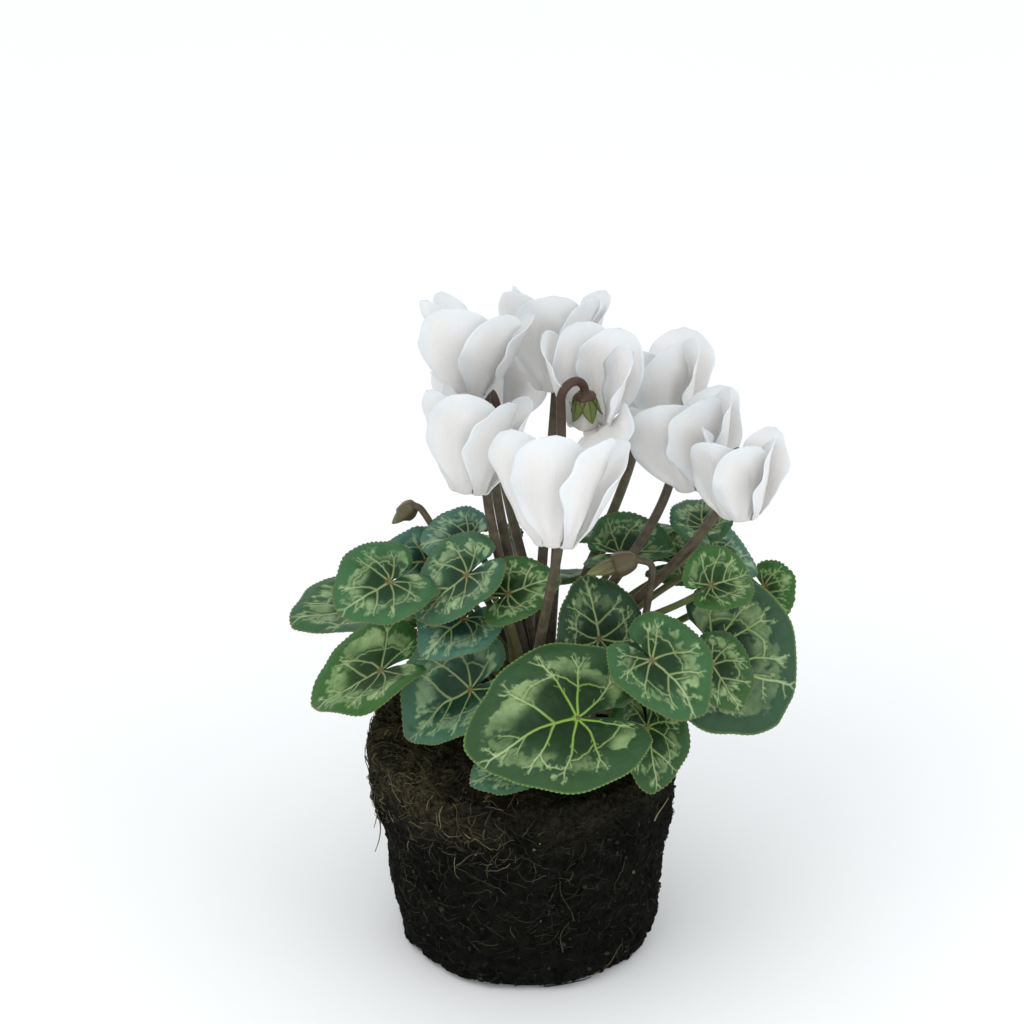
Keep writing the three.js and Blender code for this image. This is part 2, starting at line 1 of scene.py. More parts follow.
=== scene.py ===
# The living look of a white florist's cyclamen with a bare root ball: marbled leaves, petals, stalks, peat
# and roots, each built finely where its plain solid stands. Lengths are in millimetres up to the stage.

import json
from math import ceil, cos, hypot, pi, radians, sin, sqrt, tau

import bmesh
import bpy
import numpy as np
from mathutils import Euler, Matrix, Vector

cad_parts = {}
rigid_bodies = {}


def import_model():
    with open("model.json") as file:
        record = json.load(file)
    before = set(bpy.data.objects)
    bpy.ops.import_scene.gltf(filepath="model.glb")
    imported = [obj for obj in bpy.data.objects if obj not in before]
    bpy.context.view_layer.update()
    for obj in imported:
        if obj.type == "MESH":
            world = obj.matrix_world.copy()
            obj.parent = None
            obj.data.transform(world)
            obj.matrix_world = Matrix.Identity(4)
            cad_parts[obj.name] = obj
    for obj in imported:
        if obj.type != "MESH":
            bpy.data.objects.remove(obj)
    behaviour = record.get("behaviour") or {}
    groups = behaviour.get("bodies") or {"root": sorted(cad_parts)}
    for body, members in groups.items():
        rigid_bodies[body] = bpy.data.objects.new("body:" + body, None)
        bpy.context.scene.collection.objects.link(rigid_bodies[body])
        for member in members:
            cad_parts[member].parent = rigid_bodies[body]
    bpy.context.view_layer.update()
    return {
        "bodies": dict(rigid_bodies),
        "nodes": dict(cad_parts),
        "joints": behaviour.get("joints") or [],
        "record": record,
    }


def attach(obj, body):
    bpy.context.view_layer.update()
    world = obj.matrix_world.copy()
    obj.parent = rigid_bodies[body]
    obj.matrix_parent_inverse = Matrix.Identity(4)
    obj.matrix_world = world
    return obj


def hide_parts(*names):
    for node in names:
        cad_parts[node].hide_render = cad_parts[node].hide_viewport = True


MM = 0.001
UP = np.array([0.0, 0.0, 1.0])

# Where pieces lie in their bake: all of it, or a stalk below and what it holds above
WHOLE = (0.01, 0.01, 0.99, 0.99)
LOWER = (0.01, 0.01, 0.99, 0.69)

# Where things grow, as in the plant's solids

GAP = 0.35
ROOT_BALL = dict(height=73, top_radius=50, bottom_radius=40, lean=2, lump=1.1)
# Its outline from the foot up and in over the top: shares of its width and of its height, one for each ring
ROOT_BALL_PROFILE = (
    (0.92, 0), (0.985, 0.025), (1, 0.08), (1, 0.3), (1, 0.52), (1, 0.74), (1, 0.93), (0.95, 0.99), (0.6, 1),
)
RIM_RING = 7
TUBER = dict(centre=(4, 3, 73.5), radius=18, height=9.5)
LEAF_STALK = dict(radius=1.3, rise=0.5, through=0.8, along=0.45, onward=0.35)
FLOWER_STALK = dict(radius=1.6, rise=1.2, homeward=0.35, reach=0.33, hook_radius=4.8)
BUD_STALK_RADIUS = 1.1
COROLLA_TUBE = dict(base_radius=2.5, base_height=9.2, mouth_radius=3.9, mouth_height=-0.3, wall=0.9, dome=0.4)
HOOK_LIFT = 3.3
HOOK_OVERLAP = 1.5
PETAL_AZIMUTHS = (0, 54, 104, -110, -55)
PETAL = dict(
    rim=3.4, fold_radius=1.4, length=31, lean=15, bow=12, foot_half_width=2.6, half_width=12, foot_share=0.1,
    widest_share=0.6, round_share=0.55, foot_curl=7, tip_curl=24, twist=20, twist_shares=(0.04, 0.26), trim=1,
)
SUNK_PETAL = dict(lean=70, bow=6, length=24)
# A leaf's outline: degrees round from its tip, and how far out it reaches there as a share of its length
LEAF_OUTLINE = ((0, 15, 30, 60, 90, 120, 150, 165, 172), (1, 0.91, 0.86, 0.82, 0.79, 0.75, 0.68, 0.57, 0.4))

# Each leaf's joint and tip, its roll, fold and bend in degrees, its width, its root on the tuber (way round
# and distance), and how far the curve of its stalk reaches at its foot and at its end
LEAF_COLUMNS = ("at", "tip", "roll", "fold", "bend", "wide", "root", "lift", "arrive")
LEAVES = [dict(zip(LEAF_COLUMNS, row)) for row in (
    ((15, -51, 108), (-21, -54, 99), -31, 8, 20, 0.93, (-84, 6), 0.7, 0.47),
    ((37, -32, 93), (39, -45, 77), -20, 8, 15, 0.85, (-46, 15), 0.45, 0.35),
    ((38, -38, 121), (55, -45, 106), 22, 12, 12, 1, (-48, 11), 0.25, 0.43),
    ((57, -24, 111), (66, -32, 99), 2, 12, 12, 1, (-29, 12), 0.2, 0.2),
    ((59, 2, 101), (79, -8, 79), 28, 8, 25, 1.05, (-12, 13), 0.45, 0.43),
    ((22, -18, 117), (19, -7, 134), 16, 8, 10, 1, (-62, 9), 0.4, 0.35),
    ((-6, -18, 133), (10, -15, 137), 17, 8, 19, 1, (-113, 8), 0.45, 0.2),
    ((-46, -16, 104), (-68, -16, 92), -13, 15, 10, 1, (-150, 12), 0.4, 0.15),
    ((-43, -9, 132), (-59, -19, 126), -19, 10, 10, 1.05, (-167, 10), 0.55, 0.35),
    ((-32, 14, 126), (-46, 10, 128), -36, 10, 14, 1, (163, 8), 0.4, 0.31),
    ((-19, -10, 135), (-35, -14, 121), -9, 10, 10, 1, (-146, 8), 0.35, 0.35),
    ((-19, 13, 136), (-34, 9, 134), -11, 10, 10, 1, (137, 6), 0.35, 0.44),
    ((-18, -24, 102), (-39, -25, 87), -30, 28, 12, 1.05, (-126, 11), 0.65, 0.12),
    ((-20, -13, 121), (-33, -22, 113), -15, 8, 6, 1, (-172, 6), 0.45, 0.48),
    ((-37, 10, 112), (-48, 16, 113), -17, 10, 10, 1, (175, 11), 0.3, 0.39),
    ((-2, -43, 87), (-18, -48, 82), -20, 10, 10, 0.8, (-98, 15), 0.55, 0.43),
    ((29, 20, 126), (47, 16, 129), 23, 35, 10, 0.9, (12, 6), 0.55, 0.27),
    ((55, 16, 138), (54, 30, 140), -6, 25, 10, 1, (32, 9), 0.55, 0.27),
    ((57, -11, 132), (69, -1, 131), 38, 30, 10, 1.05, (11, 10), 0.45, 0.35),
    ((61, 23, 123), (73, 26, 116), 24, 10, 10, 1, (25, 12), 0.35, 0.39),
    ((75, 24, 111), (83, 18, 105), 27, 20, 10, 1.1, (4, 13), 0.25, 0.39),
    ((49, 39, 111), (69, 42, 106), 4, 10, 15, 1, (42, 12), 0.6, 0.27),
    ((26, 46, 119), (32, 73, 106), 0, 10, 11, 1, (62, 11), 0.55, 0.35),
    ((-5, 46, 118), (-9, 49, 119), -6, 12, 19, 1, (109, 9), 0.4, 0.35),
    ((-31, 40, 114), (-51, 44, 110), 4, 10, 15, 1, (122, 13), 0.35, 0.43),
    ((8, 58, 97), (12, 80, 83), 0, 8, 15, 1, (86, 13), 0.45, 0.19),
    ((-50, 42, 92), (-75, 29, 93), 4, 10, 19, 1, (158, 13), 0.45, 0.39),
)]

# Each flower's mouth, which way it faces and nods, its root on the tuber, and how its petals differ from
# PETAL. Sunk is the number of the petal that has sunk forward.
FLOWERS = [
    dict(mouth=(8, -49, 169), face=-102, nod=28, root=(-100, 11), length=35, half_width=13, lean=19),
    dict(mouth=(52, 5, 159), face=-64, nod=22, root=(-53, 5), length=29, half_width=12.5, lean=17),
    dict(mouth=(65, -17, 162), face=-85, nod=6, root=(-11, 9), length=27, half_width=10, lean=9, trim=0.97),
    dict(mouth=(-18, -6, 164), face=-110, nod=22, root=(-135, 4)),
    dict(mouth=(-19, 25, 181), face=-117, nod=21, root=(174, 3), length=29, lean=19),
    dict(mouth=(18, 7, 179), face=40, nod=4, root=(41, 3), length=29, lean=17, sunk=3),
    dict(mouth=(42, 41, 158), face=-64, nod=16, root=(58, 7)),
    dict(mouth=(8, 46, 172), face=-98, nod=20, root=(103, 4)),
    dict(mouth=(-14, 65, 147), face=110, nod=15, root=(84, 9), length=30, lean=18),
]

BUDS = [
    dict(base=(31, -10, 140), tip=(18, -11, 136), root=(-38, 8),
         path=((33, -7, 108), (38, -9, 130), (38, -10, 139))),
    dict(base=(-7, 6, 127), tip=(-11, 4, 120), root=(-78, 1), path=((1, 2, 108), (-2, 5, 121), (-4, 6, 128))),
    dict(base=(-37, 24, 140), tip=(-43, 28, 132), root=(135, 10),
         path=((-12, 13, 111), (-29, 20, 134), (-34, 22, 141))),
]

# How a leaf looks unless its own look says otherwise. Its colour: fresh is bright green, the bluish value a
# teal tone, partly the leaf's own blue-green and partly painted sheen, young gives brighter veins and a green
# rim, depth below 1 a darker leaf, nearer the colour of its middle, which is painted shade on a leaf in
# shade. Its
# marbling: silver is how strong it is, band how much wider, blotch how full, and cells keeps it off the
# veins.
# Its shape: teeth, side lobes, drawn out point, waves and size.
LOOK = dict(
    fresh=0.4, cool=0.0, young=0.0, depth=1.0, silver=1.0, band=0.0, blotch=0.34, cells=0.85,
    teeth=0.5, lobes=1.0, point=0.35, wave=0.6, size=1.0,
)
LOOKS = [
    dict(fresh=0.1, young=1.0, silver=0.72, band=-0.08, blotch=0.36, cells=0.5, teeth=0.3, point=0.0,
         wave=0.3, size=0.95),
    dict(fresh=0.25, young=0.5, silver=0.55), dict(fresh=0.6, cool=0.15, lobes=0.9, point=0.9),
    dict(point=0.9),
    dict(fresh=0.0, cool=0.15, young=0.7, silver=0.6, band=0.05, blotch=0.7, cells=0.5, teeth=0.3),
    # Leaf 6 has depth below 1 as painted shade: it lies in shade behind the middle of the plant, so its
    # colour is darkened
    dict(fresh=0.0, cool=0.1, silver=0.35, depth=0.55), dict(), dict(fresh=0.75, wave=1.1),
    dict(fresh=0.8, cool=0.25), dict(cool=1.0), dict(fresh=0.45, cool=0.35), dict(fresh=0.2, cool=0.95),
    dict(fresh=0.5, cool=0.6), dict(cool=0.9, silver=0.7), dict(fresh=0.6), dict(cool=0.6),
    dict(fresh=0.5, cool=0.2), dict(fresh=0.5, cool=0.3), dict(fresh=0.7), dict(cool=0.8), dict(fresh=0.9),
    dict(fresh=0.5), dict(), dict(fresh=0.3), dict(fresh=0.6), dict(fresh=0.3), dict(fresh=0.55, cool=0.2),
]

# Small helpers

rng = np.random.default_rng(11)


def srgb(*levels):
    """A colour from 0 to 255 levels, as the shaders want it."""
    linear = [((v / 255 + 0.055) / 1.055) ** 2.4 if v > 10 else v / 255 / 12.92 for v in levels]
    return (*linear, 1.0)


def ramp(x, start, end):
    """0 up to start, 1 from end on, and eased between them."""
    t = np.clip((np.asarray(x, float) - start) / (end - start), 0, 1)
    return t * t * (3 - 2 * t)


def unit(v):
    return v / np.linalg.norm(v, axis=-1, keepdims=True)


def shares(count):
    """Even steps from 0 to 1."""
    return np.linspace(0, 1, count)


def steps_round(sides):
    """Even steps once round, in radians."""
    return 2 * np.pi * np.arange(sides) / sides


def noise(points, size, seed=0):
    """Smooth noise from -1 to 1 that changes over size."""
    spot = np.asarray(points, float) / size
    cell = np.floor(spot).astype(np.int64)
    part = spot - cell
    part = part * part * (3 - 2 * part)
    total = 0
    for corner in np.ndindex(2, 2, 2):
        x, y, z = np.moveaxis(cell + corner, -1, 0)
        mixed = (x * 73856093) ^ (y * 19349663) ^ (z * 83492791) ^ (seed * 2654435 + 97)
        mixed = ((mixed ^ (mixed >> 13)) * 1274126177) & 0x7FFFFFFF
        level = ((mixed ^ (mixed >> 15)) & 0xFFFF) / 32767.5 - 1
        total = total + level * np.prod(np.where(np.array(corner) == 1, part, 1 - part), axis=-1)
    return total


def grid(rows, columns, closed=False, box=(0, 0, 1, 1), bake_at=None):
    """Quads over rows by columns of points, and each corner's place in the bake box."""
    last = columns if closed else columns - 1
    i, j = (a.ravel() for a in np.meshgrid(np.arange(rows - 1), np.arange(last), indexing="ij"))
    next_j = (j + 1) % columns
    row, next_row = i * columns, (i + 1) * columns
    faces = np.stack([row + j, next_row + j, next_row + next_j, row + next_j], -1)
    if bake_at is not None:
        return faces, bake_at[faces]
    v = np.stack([i, i + 1, i + 1, i], -1) / (rows - 1)
    u = np.stack([j, j, j + 1, j + 1], -1) / last
    return faces, np.stack([box[0] + (box[2] - box[0]) * u, box[1] + (box[3] - box[1]) * v], -1)


def outer_loop(rows, columns):
    """A grid's edge in turn: along its first column, its last row and back along its last column."""
    return np.concatenate([np.arange(rows) * columns, (rows - 1) * columns + np.arange(1, columns),
                           np.arange(rows - 2, -1, -1) * columns + columns - 1])


class Pile:
    """Gathers points and faces, in millimetres, into one mesh."""

    def __init__(self):
        self.points, self.parts, self.values, self.count = [], [], [], 0

    def add(self, points, faces, bake, finish=0, **values):
        points = np.asarray(points, float).reshape(-1, 3)
        self.points.append(points)
        self.parts.append((faces + self.count, bake, finish))
        self.values.append((self.count, len(points), values))
        self.count += len(points)
        return self.count - len(points)

    def rings(self, points, hubs, spots, way=-1, finish=0, box=(0, 0, 1, 1), bake_at=None, **values):
        """A skin over rings of points. A fan, baked at its spot, closes each end that has a hub."""
        count, sides = points.shape[:2]
        faces, bake = grid(count, sides, True, box, bake_at)
        hubs = {end: hub for end, hub in enumerate(hubs) if hub is not None}
        start = self.add(np.vstack([points.reshape(-1, 3), *hubs.values()]), faces[:, ::way], bake[:, ::way],
                         finish, **values)
        for hub, end in enumerate(hubs, start + count * sides):
            ring = start + end * (count - 1) * sides + np.arange(sides)
            steps = [ring, np.roll(ring, -1)]
            if (way < 0) == (end == 0):
                steps.reverse()
            fan = np.stack([np.full(sides, hub), *steps], -1)
            self.parts.append((fan, np.full((sides, 3, 2), spots[end]), finish))

    def wall(self, starts, loop, spots, finish=0):
        """Joins two faces round their edge. Spots is where the points of the first one are baked."""
        after = np.roll(loop, -1)
        faces = np.stack([loop + starts[0], loop + starts[1], after + starts[1], after + starts[0]], -1)
        self.parts.append((faces, spots[np.stack([loop, loop, after, after], -1)], finish))

    def object(self, name, materials):
        mesh = bpy.data.meshes.new(name)
        points = np.concatenate(self.points) * MM
        sizes = np.concatenate([np.full(len(f), f.shape[1]) for f, _, _ in self.parts])
        corners = np.concatenate([f.ravel() for f, _, _ in self.parts])
        bake = np.concatenate([b.reshape(-1, 2) for _, b, _ in self.parts])
        finish = np.concatenate([np.full(len(f), k) for f, _, k in self.parts])
        for part, filling in ((mesh.vertices, points), (mesh.loops, corners), (mesh.polygons, sizes)):
            part.add(len(filling))
        for material in materials:
            mesh.materials.append(material)
        mesh.vertices.foreach_set("co", points.ravel())
        mesh.loops.foreach_set("vertex_index", corners.astype(np.int32))
        mesh.polygons.foreach_set("loop_start", (np.cumsum(sizes) - sizes).astype(np.int32))
        mesh.polygons.foreach_set("material_index", finish.astype(np.int32))
        mesh.polygons.foreach_set("use_smooth", np.ones(len(sizes), bool))
        layer = mesh.uv_layers.new(name="OFBake")
        layer.data.foreach_set("uv", bake.astype(np.float32).ravel())
        for key in sorted({key for _, _, values in self.values for key in values}):
            level = np.zeros(len(points), np.float32)
            for start, count, values in self.values:
                if key in values:
                    level[start:start + count] = np.broadcast_to(np.ravel(values[key]), (count,))
            mesh.attributes.new(key, "FLOAT", "POINT").data.foreach_set("value", level)
        mesh.update(calc_edges=True)
        thing = bpy.data.objects.new(name, mesh)
        bpy.context.scene.collection.objects.link(thing)
        return thing


def settle(thing, slot, *nodes):
    """Makes a piece part of the plant, in place of the plain solids it stands for."""
    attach(thing, "root")
    if nodes:
        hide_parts(*nodes)


def bezier(ends, steps):
    """A curve from the first of four points to the last, pulled by the two between them."""
    t = shares(steps)[:, None]
    a, b, c, d = (np.asarray(p, float) for p in ends)
    return (1 - t) ** 3 * a + 3 * (1 - t) ** 2 * t * b + 3 * (1 - t) * t * t * c + t ** 3 * d


def through(points, steps):
    """A smooth curve through the points, evened out by their distances."""
    p = np.asarray(points, float)
    p = np.vstack([2 * p[0] - p[1], p, 2 * p[-1] - p[-2]])
    gaps = np.linalg.norm(np.diff(p, axis=0), axis=1) ** 0.5
    curve = []
    for k in range(1, len(p) - 2):
        a, b, c = gaps[k - 1:k + 2]
        back, on = (p[k + 1] - p[k - 1]) / (a + b), (p[k + 2] - p[k]) / (b + c)
        leave = ((p[k] - p[k - 1]) / a - back + (p[k + 1] - p[k]) / b) * b
        arrive = ((p[k + 1] - p[k]) / b - on + (p[k + 2] - p[k + 1]) / c) * b
        t = np.linspace(0, 1, steps, endpoint=False)[:, None]
        curve.append(p[k] * (2 * t ** 3 - 3 * t ** 2 + 1) + leave * (t ** 3 - 2 * t ** 2 + t)
                     + p[k + 1] * (3 * t ** 2 - 2 * t ** 3) + arrive * (t ** 3 - t ** 2))
    return np.vstack(curve + [p[-2]])


def add_stalk(pile, line, radii, sides, box, finish=0, squeeze=0.0, **values):
    """A round stalk along a line, with rounded ends. Each value is one for all points or one for each."""
    line = np.asarray(line, float)
    count = len(line)
    radii = np.broadcast_to(radii, (count,))
    along = unit(np.gradient(line, axis=0))
    side = np.array([1.0, 0, 0]) if abs(along[0][0]) < 0.8 else np.array([0, 1.0, 0])
    turn = steps_round(sides)
    cosine, sine = np.cos(turn)[:, None], np.sin(turn)[:, None]
    rings = []
    for k in range(count):
        side = side - side @ along[k] * along[k]
        side = side / sqrt(side @ side)
        other = np.cross(along[k], side)
        flutes = (1 + squeeze * np.sin(3 * turn + k * 0.15))[:, None]
        rings.append(line[k] + radii[k] * flutes * (cosine * side + sine * other))
    hubs = [line[0] - along[0] * radii[0] * 0.4, line[-1] + along[-1] * radii[-1] * 0.4]
    level = {key: np.broadcast_to(value, (count,)) for key, value in values.items()}
    level["along"] = shares(count)
    level = {key: np.append(value.repeat(sides), value[[0, -1]]) for key, value in level.items()}
    level["turn"] = np.append(np.tile(np.arange(sides) / sides, count), [0, 0])
    middle = (box[0] + box[2]) / 2
    pile.rings(np.array(rings), hubs, ((middle, box[1]), (middle, box[3])), finish=finish, box=box, **level)


def crown_point(azimuth, radius):
    """Where a stalk leaves the tuber, and the way straight out of it there."""
    turn = radians(azimuth)
    wide, high = TUBER["radius"], TUBER["height"]
    up = high * sqrt(1 - (radius / wide) ** 2)
    spot = np.array([radius * cos(turn), radius * sin(turn), up])
    normal = unit(spot / np.array([wide, wide, high]) ** 2)
    return np.array(TUBER["centre"]) + spot + normal * GAP, normal


# Materials

class Skin:
    """A material, with short ways to add its shader nodes. Each gives the output of the node it adds."""

    def __init__(self, name, **fixed):
        self.material = bpy.data.materials.new(name)
        self.material.use_nodes = True
        self.tree = self.material.node_tree
        self.shader = self.tree.nodes["Principled BSDF"]
        self.fill(self.shader, {key.replace("_", " "): value for key, value in fixed.items()})
        self.place = self.node("TexCoord", {}, "Object")

    def fill(self, node, inputs):
        """Links or sets inputs, named or numbered, and leaves those that are None."""
        for key, value in inputs.items():
            if hasattr(value, "is_linked"):
                self.tree.links.new(value, node.inputs[key])
            elif value is not None:
                node.inputs[key].default_value = value

    def node(self, kind, inputs, out=0, **settings):
        made = self.tree.nodes.new("ShaderNode" + kind)
        for key, setting in settings.items():
            setattr(made, key, setting)
        self.fill(made, inputs)
        return made.outputs[out]

    def value(self, name, times=None):
        """A level that the mesh's points carry, as it is or times a number."""
        level = self.node("Attribute", {}, "Fac", attribute_name=name)
        return level if times is None else self.math("MULTIPLY", level, times)

    def noise(self, scale, detail=3.0, roughness=0.55, place=None, distortion=0.0):
        inputs = dict(Vector=place or self.place, Scale=scale, Detail=detail, Roughness=roughness)
        return self.node("TexNoise", {**inputs, "Distortion": distortion}, "Fac")

    def cells(self, scale):
        return self.node("TexVoronoi", dict(Vector=self.place, Scale=scale), "Distance")

    def math(self, kind, a, b=0.0):
        return self.node("Math", {0: a, 1: b}, operation=kind)

    def span(self, *levels):
        """Maps a value from one span, low and high, to another one, or else to 0 and 1."""
        return self.node("MapRange", dict(enumerate(levels)))

    def vector(self, *parts):
        return self.node("CombineXYZ", dict(enumerate(parts)))

    def mix(self, share, *colours):
        """Mixes two colours. Those that aren't from a node are levels from 0 to 255."""
        a, b = (c if hasattr(c, "is_linked") else srgb(*c) for c in colours)
        return self.node("Mix", {0: share, 6: a, 7: b}, 2, data_type="RGBA")

    def bump(self, height, distance, strength=1.0, under=None):
        inputs = dict(Strength=strength, Distance=distance, Height=height, Normal=under)
        return self.node("Bump", inputs, "Normal")

    def done(self, colour, roughness, normal=None):
        self.fill(self.shader, {"Base Color": colour, "Roughness": roughness, "Normal": normal})
        return self.material


def leaf_upper_material():
    n = Skin("leaf_upper", Specular_IOR_Level=0.16)
    mottle, fine = n.noise(260, 4), n.noise(1500, 2)
    zone, young = n.value("zone"), n.value("young")

    def green(near, far, near_pale, far_pale):
        """From the leaf's middle out to its rim, dark and pale as the mottling goes."""
        return n.mix(mottle, n.mix(zone, near, far), n.mix(zone, near_pale, far_pale))

    old = green((14, 34, 10), (36, 62, 36), (22, 46, 18), (50, 78, 48))
    fresh = green((20, 46, 14), (44, 86, 34), (32, 62, 22), (62, 106, 48))
    colour = n.mix(n.value("fresh"), old, fresh)
    # Partly painted sheen: a bluish teal over the green and the silver, partly the leaf's own blue-green and
    # partly a painted bluish sheen of its gloss
    teal = n.mix(zone, (26, 54, 46), n.mix(mottle, (56, 94, 82), (84, 124, 110)))
    colour = n.mix(n.value("cool", 0.85), colour, teal)
    silver = n.mix(fine, (124, 150, 96), (160, 182, 128))
    silver = n.mix(n.value("cool", 0.5), silver, (150, 178, 156))
    patch = n.math("MULTIPLY", n.value("silver"), n.span(n.noise(420, 4), 0.3, 0.55, 0.62, 1.0))
    colour = n.mix(patch, colour, silver)
    vein = n.mix(zone, n.mix(young, (130, 146, 96), (120, 152, 66)), (166, 182, 134))
    colour = n.mix(n.value("vein"), colour, vein)
    colour = n.mix(n.value("spot"), colour, n.mix(young, (104, 76, 50), (118, 150, 44)))
    colour = n.mix(n.value("rim", 0.55), colour, (78, 112, 56))
    colour = n.mix(n.value("tooth", 0.85), colour, n.mix(young, (124, 100, 62), (112, 138, 72)))
    grain = n.math("ADD", n.cells(1300), n.math("MULTIPLY", fine, 0.5))
    return n.done(colour, n.span(mottle, 0.3, 0.7, 0.4, 0.54), n.bump(grain, 0.00012, 0.5))


def leaf_under_material():
    n = Skin("leaf_under", Specular_IOR_Level=0.2)
    mottle = n.noise(220, 3)
    colour = n.mix(mottle, (70, 116, 52), (98, 146, 68))
    # The same bluish tone, partly the leaf's own colour and partly painted sheen, tints the underside
    colour = n.mix(n.value("cool", 0.5), colour, (88, 136, 96))
    colour = n.mix(n.value("vein", 0.7), colour, (142, 160, 100))
    return n.done(colour, n.span(mottle, 0.3, 0.7, 0.4, 0.52), n.bump(n.cells(1100), 0.0001, 0.4))


def stalk_material(name, dark, light, tip):
    n = Skin(name, Specular_IOR_Level=0.25)
    streak = n.noise(55, 3, place=n.vector(n.value("along", 0.25), n.value("turn")))
    colour = n.mix(n.span(n.noise(330, 3), 0.35, 0.65), dark, light)
    colour = n.mix(n.math("MULTIPLY", streak, 0.35), colour, light)
    colour = n.mix(n.value("brown"), colour, (74, 48, 42))
    colour = n.mix(n.span(n.value("green"), 0.15, 0.9), colour, tip)
    return n.done(colour, n.span(n.noise(500, 2), 0.3, 0.7, 0.34, 0.5), n.bump(n.noise(1400, 2), 0.0001, 0.5))


def petal_material():
    n = Skin("petal", Specular_IOR_Level=0.35, Subsurface_Weight=0.5, Subsurface_Scale=0.005,
             Subsurface_Radius=(1.0, 0.95, 0.9))
    ribs = n.noise(1.0, 3, place=n.vector(n.value("across", 26), n.value("along", 2.2), n.value("petal", 7)))
    cloud = n.noise(70, 3)
    colour = n.mix(cloud, (230, 226, 221), (224, 221, 218))
    colour = n.mix(n.value("margin", 0.6), colour, (210, 223, 232))
    # Painted shade: the petals' feet, where they fold back into the mouth, and the tube inside the flower are
    # greyed warm as if in shadow
    colour = n.mix(n.value("foot", 0.7), colour, (204, 196, 188))
    colour = n.mix(n.span(ribs, 0.35, 0.75, 0.0, 0.12), colour, (190, 186, 187))
    normal = n.bump(n.noise(2400, 2), 0.00005, 0.4, n.bump(ribs, 0.0003, 0.45))
    return n.done(colour, n.span(cloud, 0.3, 0.7, 0.42, 0.55), normal)


def calyx_material():
    n = Skin("calyx", Specular_IOR_Level=0.4)
    edge = n.math("ABSOLUTE", n.value("across"))
    colour = n.mix(n.noise(300, 3), (80, 98, 46), (114, 132, 66))
    stripe = n.math("MAXIMUM", n.span(edge, 0.16, 0.02), n.span(edge, 0.72, 0.98))
    stripe = n.math("MULTIPLY", stripe, n.span(n.noise(420, 2), 0.3, 0.6, 0.55, 1.0))
    colour = n.mix(stripe, colour, (66, 42, 34))
    colour = n.mix(n.span(n.value("cap"), 0.3, 0.9), colour, (74, 54, 40))
    return n.done(colour, n.span(edge, 0.0, 1.0, 0.4, 0.5), n.bump(n.noise(1500, 2), 0.0001, 0.5))


def bud_material():
    n = Skin("bud", Specular_IOR_Level=0.4)
    twist = n.noise(1.0, 3, place=n.vector(n.value("turn", 7), n.value("along", 1.5)))
    colour = n.mix(n.value("along"), (72, 58, 40), (126, 134, 78))
    colour = n.mix(n.span(twist, 0.4, 0.65, 0.0, 0.75), colour, (66, 48, 36))
    return n.done(colour, n.span(twist, 0.3, 0.7, 0.4, 0.55), n.bump(twist, 0.0004, 0.5))


def peat_material():
    n = Skin("peat", Specular_IOR_Level=0.02)
    clod, grit, clump = n.noise(190, 5, 0.65), n.noise(1100, 4, 0.7), n.noise(420, 5, 0.7, distortion=0.6)
    colour = n.mix(n.span(clod, 0.3, 0.7), (6, 6, 6), (32, 33, 30))
    colour = n.mix(n.span(grit, 0.5, 0.75, 0.0, 0.7), colour, (44, 43, 36))
    moss = n.math("MULTIPLY", n.value("moss"), n.span(n.noise(650, 4, 0.7), 0.38, 0.62))
    colour = n.mix(moss, colour, (98, 90, 64))
    normal = n.bump(grit, 0.0014, 1.0, n.bump(clump, 0.003, 1.0))
    return n.done(colour, n.span(grit, 0.3, 0.7, 0.72, 0.95), normal)


def fibre_material():
    n = Skin("roots", Specular_IOR_Level=0.1)
    shade = n.math("ADD", n.value("shade"), n.span(n.noise(800, 2), 0.2, 0.8, -0.08, 0.08))
    colour = n.mix(n.span(shade, 0.05, 0.45), (16, 16, 15), (48, 47, 39))
    colour = n.mix(n.span(shade, 0.45, 0.8), colour, (90, 86, 62))
    colour = n.mix(n.span(shade, 0.8, 1.0), colour, (146, 140, 104))
    return n.done(colour, n.span(shade, 0.0, 1.0, 0.85, 0.6), n.bump(n.noise(3000, 2), 0.00006, 0.5))


def tuber_material():
    n = Skin("tuber", Specular_IOR_Level=0.3)
    bark = n.noise(160, 6, 0.7)
    colour = n.mix(n.span(bark, 0.3, 0.7), (48, 36, 27), (104, 80, 58))
    return n.done(colour, n.span(bark, 0.3, 0.7, 0.7, 0.9), n.bump(bark, 0.0012, 0.8))


def floor_material():
    n = Skin("floor")
    white = srgb(240, 240, 240)
    lighter = tuple(min(1, c * 1.02) for c in white)
    return n.done(n.node("Mix", {0: n.noise(3, 2), 6: white, 7: lighter}, 2, data_type="RGBA"), 0.7)


# Leaves

def leaf_frame(leaf):
    """A leaf's joint, its axes forward, across and up, and the length of its bent midrib."""
    at, tip = np.array(leaf["at"], float), np.array(leaf["tip"], float)
    x = unit(tip - at)
    flat = unit(UP - UP @ x * x)
    across = np.cross(flat, x)
    turn = radians(leaf["roll"])
    y = across * cos(turn) + flat * sin(turn)
    z = flat * cos(turn) - across * sin(turn)
    half_bend = radians(leaf["bend"]) / 2
    return at, x, y, z, np.linalg.norm(tip - at) * half_bend / sin(half_bend)


